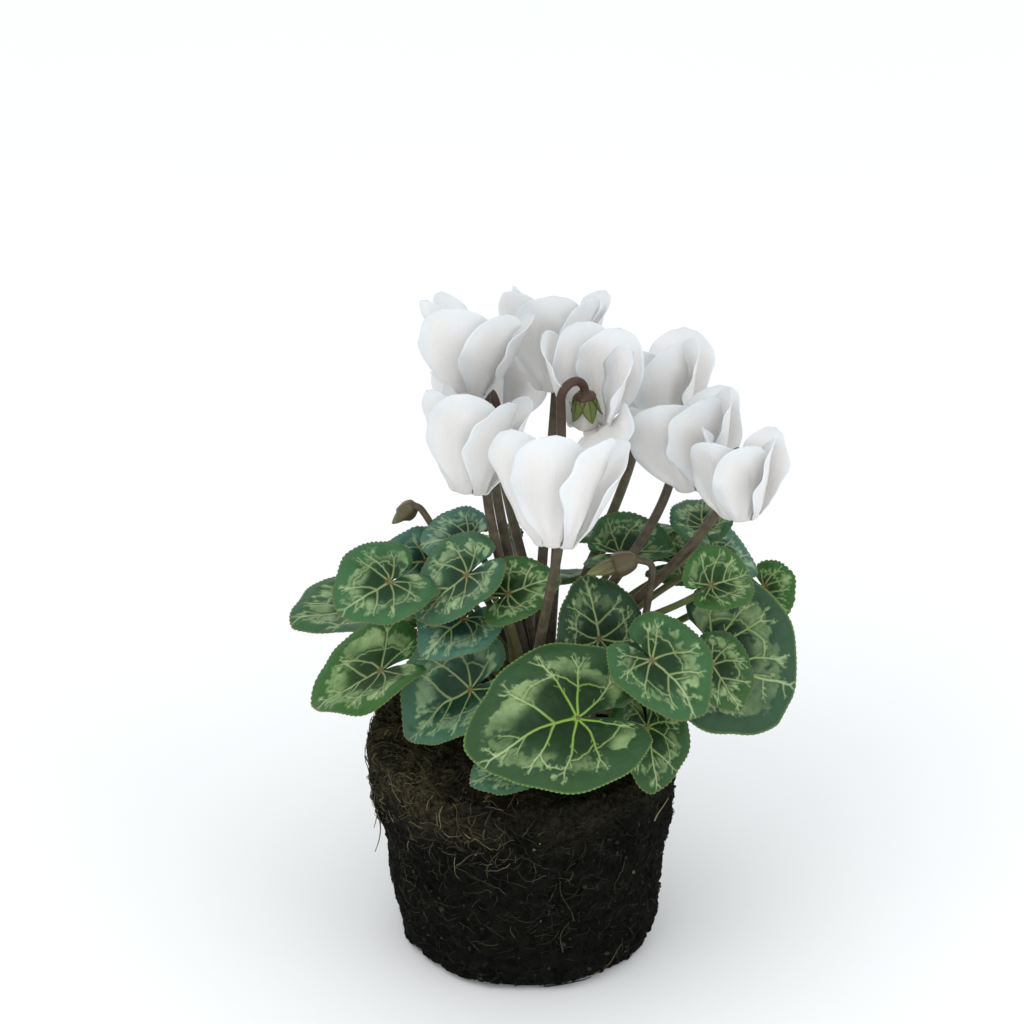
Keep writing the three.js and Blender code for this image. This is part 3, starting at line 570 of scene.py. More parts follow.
def leaf_points(leaf, u, v, lift):
    """Folds a flat leaf up along its midrib and bends it down towards its tip."""
    at, x, y, z, length = leaf_frame(leaf)
    half_bend = radians(leaf["bend"]) / 2
    fold = radians(leaf["fold"])
    crease = 0.08 * length
    side = v * leaf["wide"] * cos(fold)
    rise = (np.hypot(v, crease) - crease) * leaf["wide"] * sin(fold) + lift
    curve = 2 * half_bend / length
    bent_x = np.sin(curve * u) / curve + rise * np.sin(curve * u)
    bent_z = rise * np.cos(curve * u) - (1 - np.cos(curve * u)) / curve
    ahead = bent_x * cos(half_bend) - bent_z * sin(half_bend)
    above = bent_x * sin(half_bend) + bent_z * cos(half_bend)
    return at + ahead[..., None] * x + side[..., None] * y + above[..., None] * z


VEIN, FEATHER = 0, 1
MIDRIB_SHARE = 0.86
# A leaf's side veins: where they leave the midrib, which way, how far they run and how they bend to the tip
SIDE_VEINS = ((0.25, 56, 0.47, 0.5), (0.0, 74, 0.57, 0.55), (0.0, 112, 0.53, 0.5), (0.0, 148, 0.42, 0.2))


def grow(lines, kind, start, heading, length, width, turn, forks, random):
    """One vein as short straight pieces that bend steadily, with forks at its end."""
    spot, way = np.array(start, float), heading
    steps = max(3, int(length / 2.2))
    path = [spot]
    for k in range(steps):
        ahead = spot + length / steps * np.array([cos(way), sin(way)])
        w0, w1 = width * (1 - 0.5 * k / steps), width * (1 - 0.5 * (k + 1) / steps)
        lines.append((*spot, *ahead, w0, w1, kind))
        if forks == 2 and 0.4 < (k + 1) / steps < 0.95:
            side = (-1) ** k
            grow(lines, FEATHER, ahead, way + side * random.uniform(0.5, 1.0),
                 length * random.uniform(0.06, 0.16), w1 * 0.5, -side * 0.3, 0, random)
        spot = ahead
        path.append(spot)
        way += turn / steps + random.normal(0, 0.11)
    if forks:
        for side in (-1, 1):
            grow(lines, kind, spot, way + side * random.uniform(0.4, 0.75),
                 length * random.uniform(0.14, 0.24), w1 * 0.85, -side * 0.35, forks - 1, random)
    return path


def join(lines, start, end, width, random):
    """A fine vein that bows outward from one side vein to the next."""
    t = shares(8)[:, None]
    over = (start + end) * random.uniform(0.54, 0.6)
    path = (1 - t) ** 2 * start + 2 * t * (1 - t) * (2 * over - (start + end) / 2) + t * t * end
    path[1:-1] += random.normal(0, 0.22, (6, 2))
    for near, far in zip(path, path[1:]):
        lines.append((*near, *far, width, width, VEIN))


def leaf_veins(length, lobes, random):
    """A midrib, short upper veins, long forked side veins and the arcs that join them."""
    width = 0.15 * length ** 0.5
    lines = []
    midrib = grow(lines, VEIN, (0, 0), random.normal(0, 0.02), MIDRIB_SHARE * length, width * 1.1,
                  random.normal(0, 0.06), 1, random)

    def on_midrib(share):
        return midrib[round(share / MIDRIB_SHARE * (len(midrib) - 1))]

    for k in range(4):
        side = (-1) ** k
        start = on_midrib(0.45 + 0.11 * k + random.uniform(-0.03, 0.03))
        grow(lines, VEIN, start, side * random.uniform(0.7, 1.0), length * (0.2 - 0.025 * k), width * 0.45,
             -side * 0.3, 1, random)
    sides = {1: [], -1: []}
    for leave, angle, reach, bend in SIDE_VEINS:
        for side in sides:
            way = side * radians(angle + random.uniform(-6, 6))
            start = on_midrib(max(0, leave + random.uniform(-0.04, 0.04) * (leave > 0)))
            reach_now = reach * length * random.uniform(0.92, 1.08) * lobes
            sides[side].append(grow(lines, VEIN, start, way, reach_now, width * 0.8, -side * bend, 2, random))
    for veins in sides.values():
        for near, far in zip(veins, veins[1:]):
            near_share, far_share = random.uniform(0.72, 0.92, 2)
            join(lines, near[int(near_share * (len(near) - 1))], far[int(far_share * (len(far) - 1))],
                 width * 0.42, random)
    return lines


def near_veins(u, v, lines):
    """How much each point lies on a vein, and how far the nearest one is that isn't a feather."""
    level, nearest = np.zeros(u.shape), np.full(u.shape, 3.0)
    for x0, y0, x1, y1, w0, w1, kind in lines:
        dx, dy = x1 - x0, y1 - y0
        reach = 3.0 + hypot(dx, dy)
        close = (np.abs(u - x0) < reach) & (np.abs(v - y0) < reach)
        at_u, at_v = u[close] - x0, v[close] - y0
        t = np.clip((at_u * dx + at_v * dy) / (dx * dx + dy * dy), 0, 1)
        away = np.hypot(at_u - t * dx, at_v - t * dy)
        width = w0 + (w1 - w0) * t
        on_it = (1 - ramp(away, 0.22 * width, 0.6 * width + 0.16)) * np.clip(0.5 + 0.8 * width, 0, 1)
        level[close] = np.maximum(level[close], on_it)
        if kind == VEIN:
            nearest[close] = np.minimum(nearest[close], away)
    return level, nearest


def outline(angle, look):
    """A leaf's outline: round, drawn out to its tip by point, with its side lobes as long as lobes says."""
    degrees = np.abs(np.degrees(angle))
    base = np.interp(degrees, *LEAF_OUTLINE)
    tip = 0.86 + 0.14 * np.exp(-(degrees / (8 + 20 * (1 - look["point"]))) ** 1.3)
    drawn = base + (np.clip(tip, base, 1) - base) * (1 - ramp(degrees, 16, 36))
    return drawn * (1 + (look["lobes"] - 1) * ramp(degrees, 20, 90))


def marbling(share, angle, flat, round_about, away, length, look, number):
    """How silvery each point is: ragged patches between the veins, and wisps of silver close to them."""

    def clouds(points, size, seed):
        return noise(points, size, number + seed)

    shift = 0.07 * clouds(round_about, 0.4, 3)
    inner = 0.52 - look["band"] + shift
    outer = 0.76 + 0.06 * clouds(round_about, 0.45, 7) + shift * 0.5
    ragged = 1.1 * clouds(flat, 1.5, 0) + 0.7 * clouds(flat, 0.75, 5) + 1.2 * clouds(flat, 3.5, 6)
    inside = ramp(share, inner - 0.12, inner + 0.06) * ramp((outer - share) * length + ragged, -0.2, 0.9)
    blotch = 0.62 * clouds(flat, 0.17 * length, 80) + 0.38 * clouds(flat, 0.08 * length, 81)
    blotch = blotch + 0.16 * clouds(flat, 1.1, 82)
    strength = np.clip(0.68 + 0.45 * clouds(round_about, 0.6, 30) + 0.08 * ragged, 0.2, 1)
    silver = inside * ramp(blotch + look["blotch"], 0.05, 0.3) * strength * look["silver"]
    cell = ramp(away + 0.25 * clouds(flat, 0.9, 92), 0.3, 1.3)
    silver = silver * (1 - look["cells"] * (1 - cell))
    streak = np.stack([angle * length * 0.7 / 0.8, share * length / 2.4, share * 0], -1)
    wisp = ramp(clouds(streak, 1.0, 90) + 0.35 * clouds(flat, 0.6, 91), 0.15, 0.5)
    wisp = wisp * ramp(share, 0.5, 0.65) * (1 - ramp(share, 0.84, 0.93)) * (1 - ramp(away, 0.4, 1.5)) * 0.75
    return np.maximum(silver, wisp)


LEAF_EDGE = radians(171)
# Where a leaf's two faces lie in its bake and how large, and how far the quilting shows on them
LEAF_FACES = ((1, (0.35, 0.655), 0.33, 1), (-1, (0.845, 0.3), 0.145, 0.8))


def add_blade(pile, leaf, look, number):
    """A toothed and veined leaf blade of two faces, quilted between its veins and swaying at its rim."""
    length = leaf_frame(leaf)[4] * look["size"]
    detail = 0.36 if length < 40 else 0.45
    around = int(2 * pi * 0.78 * length / detail)
    rows = np.concatenate([[0.02], np.linspace(0.05, 1, int(0.8 * length / detail))])
    share, angle = np.meshgrid(rows, np.linspace(-LEAF_EDGE, LEAF_EDGE, around), indexing="ij")
    teeth = int(around * detail / 1.5)
    tooth = np.abs(np.sin(teeth * angle / 2 + 0.5 * np.sin(3 * angle) + 0.4 * np.sin(7 * angle))) ** 0.7
    scallop = look["teeth"] * (tooth - 0.7) * ramp(share, 0.92, 1)
    wave = 1 + 0.016 * np.sin(5 * angle + number) + 0.012 * np.sin(9 * angle + 2 * number)
    reach = length * share * outline(angle, look) * wave + scallop
    u, v = reach * np.cos(angle), reach * np.sin(angle)
    vein, away = near_veins(u, v, leaf_veins(length, look["lobes"], np.random.default_rng(100 + number)))
    flat = np.stack([u, v, np.zeros_like(u)], -1)
    round_about = np.stack([np.cos(angle), np.sin(angle), share * 0], -1)
    zoned = share + 0.12 * noise(flat, 6, number + 50) + 0.05 * noise(flat, 2, number + 51)
    # zone runs darker towards the middle; depth below 1 keeps the whole leaf nearer that darker colour,
    # painted shade on a leaf that lies in shade
    levels = dict(
        vein=vein, silver=marbling(share, angle, flat, round_about, away, length, look, number),
        spot=1 - ramp(reach, 0.5, 1.7 + 0.6 * noise(flat, 1.0, number)),
        zone=look["depth"] * ramp(zoned, 0.25, 0.85), rim=ramp(share, 0.965, 0.995),
        tooth=ramp(tooth, 0.55, 0.9) * ramp(share, 0.975, 0.995),
    )
    levels = {key: np.append(level.ravel(), level[0, 0]) for key, level in levels.items()}
    quilt = 0.4 * ramp(away, 0, 2.6) * (1 - ramp(share, 0.85, 1)) - 0.14 * vein
    quilt = quilt + 0.1 * noise(flat, 1.4, number + 60)
    swing = np.sin(3 * angle + number * 1.7) + 0.6 * np.sin(5 * angle + number * 2.9)
    sway = look["wave"] * ramp(share, 0.35, 1) * swing * length / 26
    sway = sway - 0.035 * length * ramp(share, 0.8, 1.05) * (0.6 + 0.4 * np.sin(4 * angle + number))
    thick = 0.42 * (1 - 0.72 * ramp(share, 0.86, 1))
    flat_at = np.vstack([np.stack([u, v], -1).reshape(-1, 2) / (length * 1.12), [[0, 0]]])
    tones = {key: look[key] for key in ("fresh", "cool", "young")}
    starts = []
    for finish, (side, corner, scale, quilted) in enumerate(LEAF_FACES):
        lift = sway + quilt * quilted + side * thick / 2
        centre = leaf_points(leaf, np.zeros(1), np.zeros(1), lift[0, :1])
        points = np.vstack([leaf_points(leaf, u, v, lift).reshape(-1, 3), centre])
        spots = flat_at * scale + corner
        faces, bake = grid(*u.shape, bake_at=spots)
        start = pile.add(points, faces[:, ::side], bake[:, ::side], finish, **levels, **tones)
        fan = np.stack([np.full(around - 1, u.size), np.arange(around - 1), np.arange(1, around)], -1)
        fan = fan[:, ::side]
        pile.parts.append((fan + start, spots[fan], finish))
        starts.append(start)
    _, corner, scale, _ = LEAF_FACES[0]
    pile.wall(starts, np.append(u.size, outer_loop(*u.shape)), flat_at * scale + corner)


def leaf_piece(name, leaf, look, number):
    look = {**LOOK, **look}
    pile = Pile()
    add_blade(pile, leaf, look, number)
    at, x, _, z, _ = leaf_frame(leaf)
    foot, normal = crown_point(*leaf["root"])
    end = at - z * 0.1
    span = np.linalg.norm(at - foot)
    arrive = z * LEAF_STALK["through"] + x * LEAF_STALK["along"] + unit(at - foot) * LEAF_STALK["onward"]
    rise = unit(normal + UP * LEAF_STALK["rise"]) * span * leaf["lift"]
    t = shares(34)
    line = bezier((foot, foot + rise, end - unit(arrive) * span * leaf["arrive"], end), len(t))
    add_stalk(pile, line, LEAF_STALK["radius"] * (1.02 - 0.22 * t), 12, (0.01, 0.01, 0.6, 0.3), 2, 0.04,
              green=0.25 + 0.6 * t * look["fresh"])
    settle(pile.object(name + "_fine", [LEAF_UPPER, LEAF_UNDER, LEAF_STALK_SKIN]), "leaf", name)


# Flowers

def flower_frame(flower):
    """A flower's mouth and its axes: the way it faces, across, and up through its tube."""
    face, lean = radians(flower["face"]), radians(flower["nod"])
    ahead = np.array([cos(face), sin(face), 0])
    z = UP * cos(lean) - ahead * sin(lean)
    x = ahead * cos(lean) + UP * sin(lean)
    return np.array(flower["mouth"], float), x, np.cross(z, x), z


def in_frame(frame, x, y, z):
    origin, ex, ey, ez = frame
    x, y, z = (np.asarray(a, float)[..., None] for a in (x, y, z))
    return origin + x * ex + y * ey + z * ez


def round_frame(frame, azimuth, far, aside, up):
    """The same for points given by how far out they are in the direction of an azimuth, and how far aside."""
    x, y = cos(radians(azimuth)), sin(radians(azimuth))
    return in_frame(frame, far * x - aside * y, far * y + aside * x, up)


def petal_line(petal, share):
    """Distance from the flower's axis and height, along the petal's middle line."""
    fold = pi * petal["fold_radius"]
    along = share * (fold + petal["length"])
    turn = np.minimum(along, fold) / petal["fold_radius"]
    rest = np.maximum(along - fold, 0)
    first = radians(petal["lean"] + petal["bow"])
    rate = -2 * radians(petal["bow"]) / petal["length"]
    out = petal["rim"] + petal["fold_radius"] * (1 - np.cos(turn))
    out = out - (np.cos(first + rate * rest) - np.cos(first)) / rate
    return out, -petal["fold_radius"] * np.sin(turn) + (np.sin(first + rate * rest) - np.sin(first)) / rate


def petal_half_width(petal, share):
    rise = np.clip((share - petal["foot_share"]) / (petal["widest_share"] - petal["foot_share"]), 0, 1)
    growth = (petal["half_width"] - petal["foot_half_width"]) * np.sin(pi / 2 * rise ** 1.3)
    round_off = np.clip((share - petal["round_share"]) / (1 - petal["round_share"]), 0, 1)
    return (petal["foot_half_width"] + growth) * np.sqrt(1 - round_off ** petal["round_power"])


def petal_points(petal, azimuth, frame, share, across, offset):
    """A petal: bent along its middle line, curled across it, ruffled at its edges, twisted near its foot."""
    step = 1e-3
    out, up = petal_line(petal, share)
    out1, up1 = petal_line(petal, np.maximum(share - step, 0))
    out2, up2 = petal_line(petal, np.minimum(share + step, 1))
    run = np.hypot(out2 - out1, up2 - up1)
    normal_out, normal_up = -(up2 - up1) / run, (out2 - out1) / run
    curl = petal["foot_curl"] + (petal["tip_curl"] - petal["foot_curl"]) * share
    phase, near_edge = petal["phase"], np.abs(across)

    def swing(cycles, shift, split):
        """Waves along the petal, out of step with each other on its two sides."""
        return np.sin(tau * (cycles * share + shift * phase + split * np.sign(across)))

    width = petal_half_width(petal, share) * (1 + 0.035 * swing(1.7, 1, 0.2) + 0.022 * swing(3.6, 2, 0.74))
    turn = across * width / curl
    side = curl * np.sin(turn)
    body = ramp(share, 0.2, 0.55) * ramp(share, 1, 0.86)
    inward = curl * (1 - np.cos(turn)) + offset
    inward = inward + petal["wave"] * body * near_edge ** 1.6 * swing(1.15, 1, 0.3)
    inward = inward + 0.55 * body * ramp(near_edge, 0.45, 1) ** 2 * swing(3.1, 3, 1.11)
    crease = np.cos(pi * 2.4 * across + phase * 5)
    inward = inward + petal["crease"] * ramp(share, 0.12, 0.3) * (1 - share) * crease
    inward = inward - petal["flare"] * ramp(share, 0.72, 1) ** 2
    start, end = petal["twist_shares"]
    twist = radians(petal["twist"]) * np.clip((share - start) / (end - start), 0, 1)
    sideways = side * np.cos(twist) - inward * np.sin(twist)
    normal = side * np.sin(twist) + inward * np.cos(twist)
    return round_frame(frame, azimuth, out + normal * normal_out, sideways, up + normal * normal_up)


def add_sheet(pile, shape, points_of, boxes, finish=0, **values):
    """A thin closed sheet: two faces, joined round the edge."""
    rows, columns = shape
    starts = []
    for side, box in zip((1, -1), boxes):
        faces, bake = grid(rows, columns, box=box)
        starts.append(pile.add(points_of(side), faces[:, ::side], bake[:, ::side], finish, **values))
    u0, v0, u1, v1 = boxes[0]
    row, column = np.divmod(np.arange(rows * columns), columns)
    spots = np.stack([u0 + (u1 - u0) * column / (columns - 1), v0 + (v1 - v0) * row / (rows - 1)], -1)
    pile.wall(starts, np.append(outer_loop(rows, columns), np.arange(columns - 2, 0, -1)), spots, finish)


def turned(pile, frame, profile, sides, box, finish=0, lobes=(0, 0.0), **values):
    """A surface turned round the frame's axis, from a profile of radius and height."""
    profile = np.asarray(profile, float)
    count = len(profile)
    turn = steps_round(sides)
    radius = np.maximum(profile[:, :1], 0.02) * (1 + lobes[1] * np.cos(lobes[0] * turn))
    height = np.repeat(profile[:, 1:], sides, 1)
    points = in_frame(frame, radius * np.cos(turn), radius * np.sin(turn), height)
    pile.rings(points, (), (), finish=finish, box=box, along=np.repeat(shares(count), sides),
               turn=np.tile(turn / tau, count), **values)


def own_petal(flower, k, random):
    """The k-th petal of a flower, with the small differences that make it a living one."""
    petal = {**PETAL, **flower}
    if petal.get("sunk") == k:
        petal.update(SUNK_PETAL)
    petal["half_width"] *= random.uniform(1.04, 1.14)
    petal["length"] *= random.uniform(0.99, 1.05) * petal["trim"]
    petal.update(wave=random.uniform(0.8, 1.8), phase=random.uniform())
    petal.update(crease=random.uniform(0.2, 0.6), flare=random.uniform(0.2, 2.2))
    petal["twist"] += random.uniform(-4, 6)
    petal["round_power"] = random.uniform(2.1, 2.6)
    return petal


def corolla_piece(name, flower, number):
    random = np.random.default_rng(300 + number)
    frame = flower_frame(flower)
    pile = Pile()
    rows = np.concatenate([np.linspace(0, 0.2, 13), np.linspace(0.2, 1, 34)[1:]])
    share, across = np.meshgrid(rows, np.linspace(-1, 1, 25), indexing="ij")
    thick = 0.5 - 0.26 * share - 0.12 * np.abs(across) ** 3
    margin = np.maximum(ramp(np.abs(across), 0.55, 1), ramp(share, 0.75, 1))
    for k, azimuth in enumerate(PETAL_AZIMUTHS):
        petal = own_petal(flower, k, random)
        left = 0.01 + 0.198 * k
        # The feet of the petals carry painted shade, greyed warm where they fold
        add_sheet(pile, share.shape,
                  lambda side: petal_points(petal, azimuth, frame, share, across, side * thick / 2),
                  ((left, 0.01, left + 0.093, 0.88), (left + 0.098, 0.01, left + 0.188, 0.88)),
                  along=share, across=across, margin=margin, foot=1 - ramp(share, 0.03, 0.3),
                  petal=k + number)
    wall, dome = COROLLA_TUBE["wall"], COROLLA_TUBE["dome"]
    base, base_up = COROLLA_TUBE["base_radius"], COROLLA_TUBE["base_height"]
    mouth, mouth_up = COROLLA_TUBE["mouth_radius"], COROLLA_TUBE["mouth_height"]
    profile = (
        (0, base_up - wall), (base - wall, base_up - wall), (mouth - wall, mouth_up + 0.3),
        (mouth - wall / 2, mouth_up), (mouth, mouth_up + 0.3), (base + 0.4, base_up * 0.5),
        (base, base_up), (0, base_up + dome),
    )
    # The tube takes the painted shade of the petals' feet in full, as it lies inside the flower
    turned(pile, frame, profile, 30, (0.01, 0.9, 0.99, 0.99), lobes=(5, 0.05), foot=1.0, across=0.0,
           petal=9.0)
    settle(pile.object(name + "_fine", [PETAL_SKIN]), "petal", name)


CALYX_CAP = (
    (0.02, 0.75), (1.6, 0.6), (3.0, 0.45), (3.5, 0.95), (3.3, 1.5), (2.6, 2.1), (1.9, 2.6), (1.2, 2.85),
    (0.02, 2.9),
)
SEPAL = dict(azimuths=(36, 108, 180, 252, 324), half_width=3.0, length=7.0, above=0.9, off=0.85, flare=0.9)


def add_calyx(pile, frame, finish):
    """The cap that holds a flower, and its five sepals, which lie on the tube."""
    base = COROLLA_TUBE["base_height"]
    cap = [(radius, base + rise) for radius, rise in CALYX_CAP]
    turned(pile, frame, cap, 25, (0.01, 0.72, 0.49, 0.99), finish, lobes=(5, 0.06), cap=1.0, across=0.3)
    slope = (COROLLA_TUBE["mouth_radius"] - COROLLA_TUBE["base_radius"]) / base
    share, across = np.meshgrid(shares(14), np.linspace(-1, 1, 9), indexing="ij")
    half = SEPAL["half_width"] * np.clip(1 - share ** 1.8, 0.001, 1) ** 0.75
    drop = SEPAL["length"] * share - SEPAL["above"]
    out = COROLLA_TUBE["base_radius"] + drop * slope + SEPAL["off"] - 0.35 * ramp(share, 0.3, 0)
    bow = 0.28 * (1 - across ** 2) * (1 - share) + 0.12 * np.cos(across * pi * 2) * (1 - share)
    skin = out + SEPAL["flare"] * share ** 2 + bow - 0.08 * (across * half) ** 2
    thick = 0.42 * (1 - 0.6 * across ** 2)
    for k, azimuth in enumerate(SEPAL["azimuths"]):
        left = 0.51 + 0.097 * k
        boxes = ((left, 0.72, left + 0.045, 0.99), (left + 0.05, 0.72, left + 0.09, 0.99))

        def points_of(side):
            return round_frame(frame, azimuth, skin + side * thick / 2, -across * half, base - drop)

        add_sheet(pile, share.shape, points_of, boxes, finish, along=share, across=across)


def flower_stalk_piece(name, flower):
    frame = flower_frame(flower)
    hook = FLOWER_STALK["hook_radius"]
    top = COROLLA_TUBE["base_height"] + HOOK_LIFT
    turn = np.linspace(0, pi, 22)
    arch = in_frame(frame, -hook * (1 - np.cos(turn)), 0 * turn, top + hook * np.sin(turn))
    foot, normal = crown_point(*flower["root"])
    end = arch[-1]
    leave = unit(unit(foot - end) * FLOWER_STALK["homeward"] - frame[3])
    rise = unit(normal + UP * FLOWER_STALK["rise"])
    reach = np.linalg.norm(end - foot) * FLOWER_STALK["reach"]
    drop = bezier((end, end + leave * reach, foot + rise * reach, foot), 64)
    line = np.vstack([in_frame(frame, 0.0, 0.0, top - HOOK_OVERLAP), arch, drop[1:]])[::-1]
    t = shares(len(line))
    pile = Pile()
    radii = FLOWER_STALK["radius"] * (1.08 - 0.22 * t) * (1 + 0.12 * ramp(t, 0.985, 1))
    add_stalk(pile, line, radii, 14, LOWER, 0, 0.025, green=0.55 * ramp(t, 0.97, 1),
              brown=0.8 * ramp(t, 0.6, 0.8))
    add_calyx(pile, frame, 1)
    settle(pile.object(name + "_fine", [STALK_SKIN, CALYX_SKIN]), "flower_stalk", name)


# Buds

def bud_frame(bud):
    base = np.array(bud["base"], float)
    z = unit(base - np.array(bud["tip"], float))
    x = unit(np.array([0, -1.0, 0]) + z * z[1])
    return base, x, np.cross(z, x), z


# Radius and distance from the base as shares of a bud's length: the furled petals and the cup round them
BUD_PROFILE = (
    (0, 1), (0.03, 0.97), (0.08, 0.85), (0.125, 0.72), (0.16, 0.6), (0.19, 0.47), (0.2, 0.35), (0.198, 0.25),
    (0.18, 0.15), (0.15, 0.06), (0.12, 0.01), (0, 0),
)
BUD_CUP = (
    (0, 0.04), (0.16, 0.04), (0.21, -0.08), (0.235, -0.17), (0.24, -0.32), (0.275, -0.33), (0.285, -0.2),
    (0.27, -0.08), (0.235, 0.04), (0.2, 0.12), (0.15, 0.17), (0.1, 0.2), (0, 0.21),
)


def bud_pieces(name, bud):
    """A furled bud with five swirled ridges, and its stalk with the cup."""
    frame = bud_frame(bud)
    length = np.linalg.norm(np.subtract(bud["base"], bud["tip"]))
    pile = Pile()
    sides = 30
    turn = steps_round(sides)
    radius, share = np.array(BUD_PROFILE).T[..., None]
    radius = np.maximum(radius * length, 0.03) * (1 + 0.09 * np.cos(5 * turn + 2.5 * share))
    swirl = turn + 1.1 * share
    height = np.repeat(-share * length, sides, 1)
    points = in_frame(frame, radius * np.cos(swirl), radius * np.sin(swirl), height)
    pile.rings(points, (), (), box=WHOLE, along=share.repeat(sides),
               turn=np.tile(np.abs(turn / pi - 1), len(share)))
    settle(pile.object(name + "_fine", [BUD_SKIN]), "bud", name)
    foot, _ = crown_point(*bud["root"])
    line = through([foot, *bud["path"], in_frame(frame, 0.0, 0.0, 0.16 * length)], 14)
    t = shares(len(line))
    pile = Pile()
    add_stalk(pile, line, BUD_STALK_RADIUS * (1.1 - 0.15 * t), 12, LOWER, 0, 0.03,
              green=0.2 * ramp(t, 0.9, 1))
    cup = np.array(BUD_CUP) * length
    turned(pile, frame, cup, sides, (0.01, 0.72, 0.99, 0.99), 1, lobes=(5, 0.07), cap=0.8, across=0.2)
    settle(pile.object(name + "_stalk_fine", [STALK_SKIN, CALYX_SKIN]), "flower_stalk", name + "_stalk")


# Root ball

WIDTHS, RISES = np.array(ROOT_BALL_PROFILE).T
TAPERED = ROOT_BALL["bottom_radius"] + (ROOT_BALL["top_radius"] - ROOT_BALL["bottom_radius"]) * RISES
BALL_RADII = np.append(WIDTHS * TAPERED, 0)
BALL_HEIGHTS = np.append(RISES, 1) * ROOT_BALL["height"]
BALL_RUNS = np.append(0, np.cumsum(np.hypot(np.diff(BALL_RADII), np.diff(BALL_HEIGHTS))))
BALL_END = BALL_RUNS[-1]
RIM_RUN = BALL_RUNS[RIM_RING]


def on_ball(turn, run, out=0.0):
    """A point of the peat: run is how far up its side and in over its top, out how far off its skin."""
    turn, run = np.broadcast_arrays(turn, run)

    def at(place, levels):
        return np.interp(place, BALL_RUNS, levels)

    ring = at(run, np.arange(len(BALL_RUNS)))
    before, after = run - 1.5, run + 1.5
    out_r = at(after, BALL_HEIGHTS) - at(before, BALL_HEIGHTS)
    out_z = at(before, BALL_RADII) - at(after, BALL_RADII)
    size = np.hypot(out_r, out_z)
    height = at(run, BALL_HEIGHTS)
    bulge = ROOT_BALL["lump"] * np.sin(3 * turn + ring) * np.cos(5 * turn - 2 * ring)
    bulge = bulge * ramp(height, 0, 1.5) * (1 - ramp(ring, RIM_RING, RIM_RING + 1))
    radius = at(run, BALL_RADII) + bulge + out * out_r / size
    height = height + out * out_z / size
    aside = -ROOT_BALL["lean"] * height / ROOT_BALL["height"]
    return np.stack([radius * np.cos(turn) + aside, radius * np.sin(turn), height], -1)


# The lumps of the peat's skin: how far they stand out, how wide they are, and their seed
PEAT_LUMPS = ((0.6, 9, 1), (0.55, 4, 2), (0.55, 1.9, 3), (0.4, 0.95, 4))


def rough(points):
    """How far the peat's skin stands out or in, in millimetres."""
    lumps = sum(height * noise(points, size, seed) for height, size, seed in PEAT_LUMPS)
    return lumps - 0.9 * ramp(noise(points, 5, 5), 0.25, 0.7)


def mossy(points):
    """Where old pale roots and moss gather: round the rim, most of all at the left."""
    high = ramp(points[..., 2], 52, 73)
    left = ramp(-points[..., 0], 5, 45)
    return np.clip(high * (0.25 + 0.75 * left) + 0.35 * noise(points, 12, 6) * high, 0, 1)


def root_ball_piece():
    """The peat: its side and top down to the tuber's hollow, and its rough foot."""
    pile = Pile()
    around = 420
    turn = steps_round(around)
    run = np.concatenate([np.arange(0, 8, 0.5), np.arange(8, BALL_END - 0.4, 0.62)])
    run_at, turn_at = np.meshgrid(run, turn, indexing="ij")
    bare = on_ball(turn_at, run_at)
    tuber_away = np.linalg.norm(bare[..., :2] - np.array(TUBER["centre"])[:2], axis=-1)
    sunk = 2.5 * (1 - ramp(tuber_away, 12, 22)) * (run_at > RIM_RUN)
    rougher = ramp(run_at, 0, 3) * (1 + 0.5 * ramp(run_at, RIM_RUN, RIM_RUN + 4))
    points = on_ball(turn_at, run_at, rough(bare) * rougher - sunk)
    pile.rings(points, (None, points[-1].mean(0)), (None, (0.5, 0.8)), box=(0.005, 0.005, 0.995, 0.8),
               moss=np.append(mossy(points), 0))
    under = points[0] * np.linspace(1, 0.02, 30)[:, None, None]
    under[1:, :, 2] = 0.25 * (1 + noise(under[1:], 1.6, 12))
    flat = under[..., :2].reshape(-1, 2) / BALL_RADII[0] * 0.09 + (0.5, 0.9)
    pile.rings(under, (None, under[-1].mean(0)), (None, (0.5, 0.9)), way=1, bake_at=flat)
    settle(pile.object("root_ball_fine", [PEAT]), "peat", "root_ball")


def cell_box(cell, side):
    """The cell-th small square of side by side of them in the bake."""
    u, v = cell % side / side, cell // side / side
    return u + 0.1 / side, v + 0.1 / side, u + 0.9 / side, v + 0.9 / side


def wander(count, lengths, runs, steps=6, turns=(0, tau), swerve=0.2, droop=0.0):
    """Paths of fine roots over the peat, as ways round and runs."""
    size = rng.uniform(*lengths, count) / steps
    turn, run = rng.uniform(*turns, count), rng.uniform(*runs, count)
    heading, curl = rng.uniform(0, tau, count), rng.normal(0, 0.09, count)
    path = []
    for _ in range(steps + 1):
        path.append((turn, run))
        heading = heading + rng.normal(curl, swerve)
        turn = turn + size * np.cos(heading) / np.maximum(np.interp(run, BALL_RUNS, BALL_RADII), 6)
        run = np.clip(run + size * np.sin(heading) - droop * size, 0.3, BALL_END - 14)
    return np.array(path).transpose(1, 2, 0)


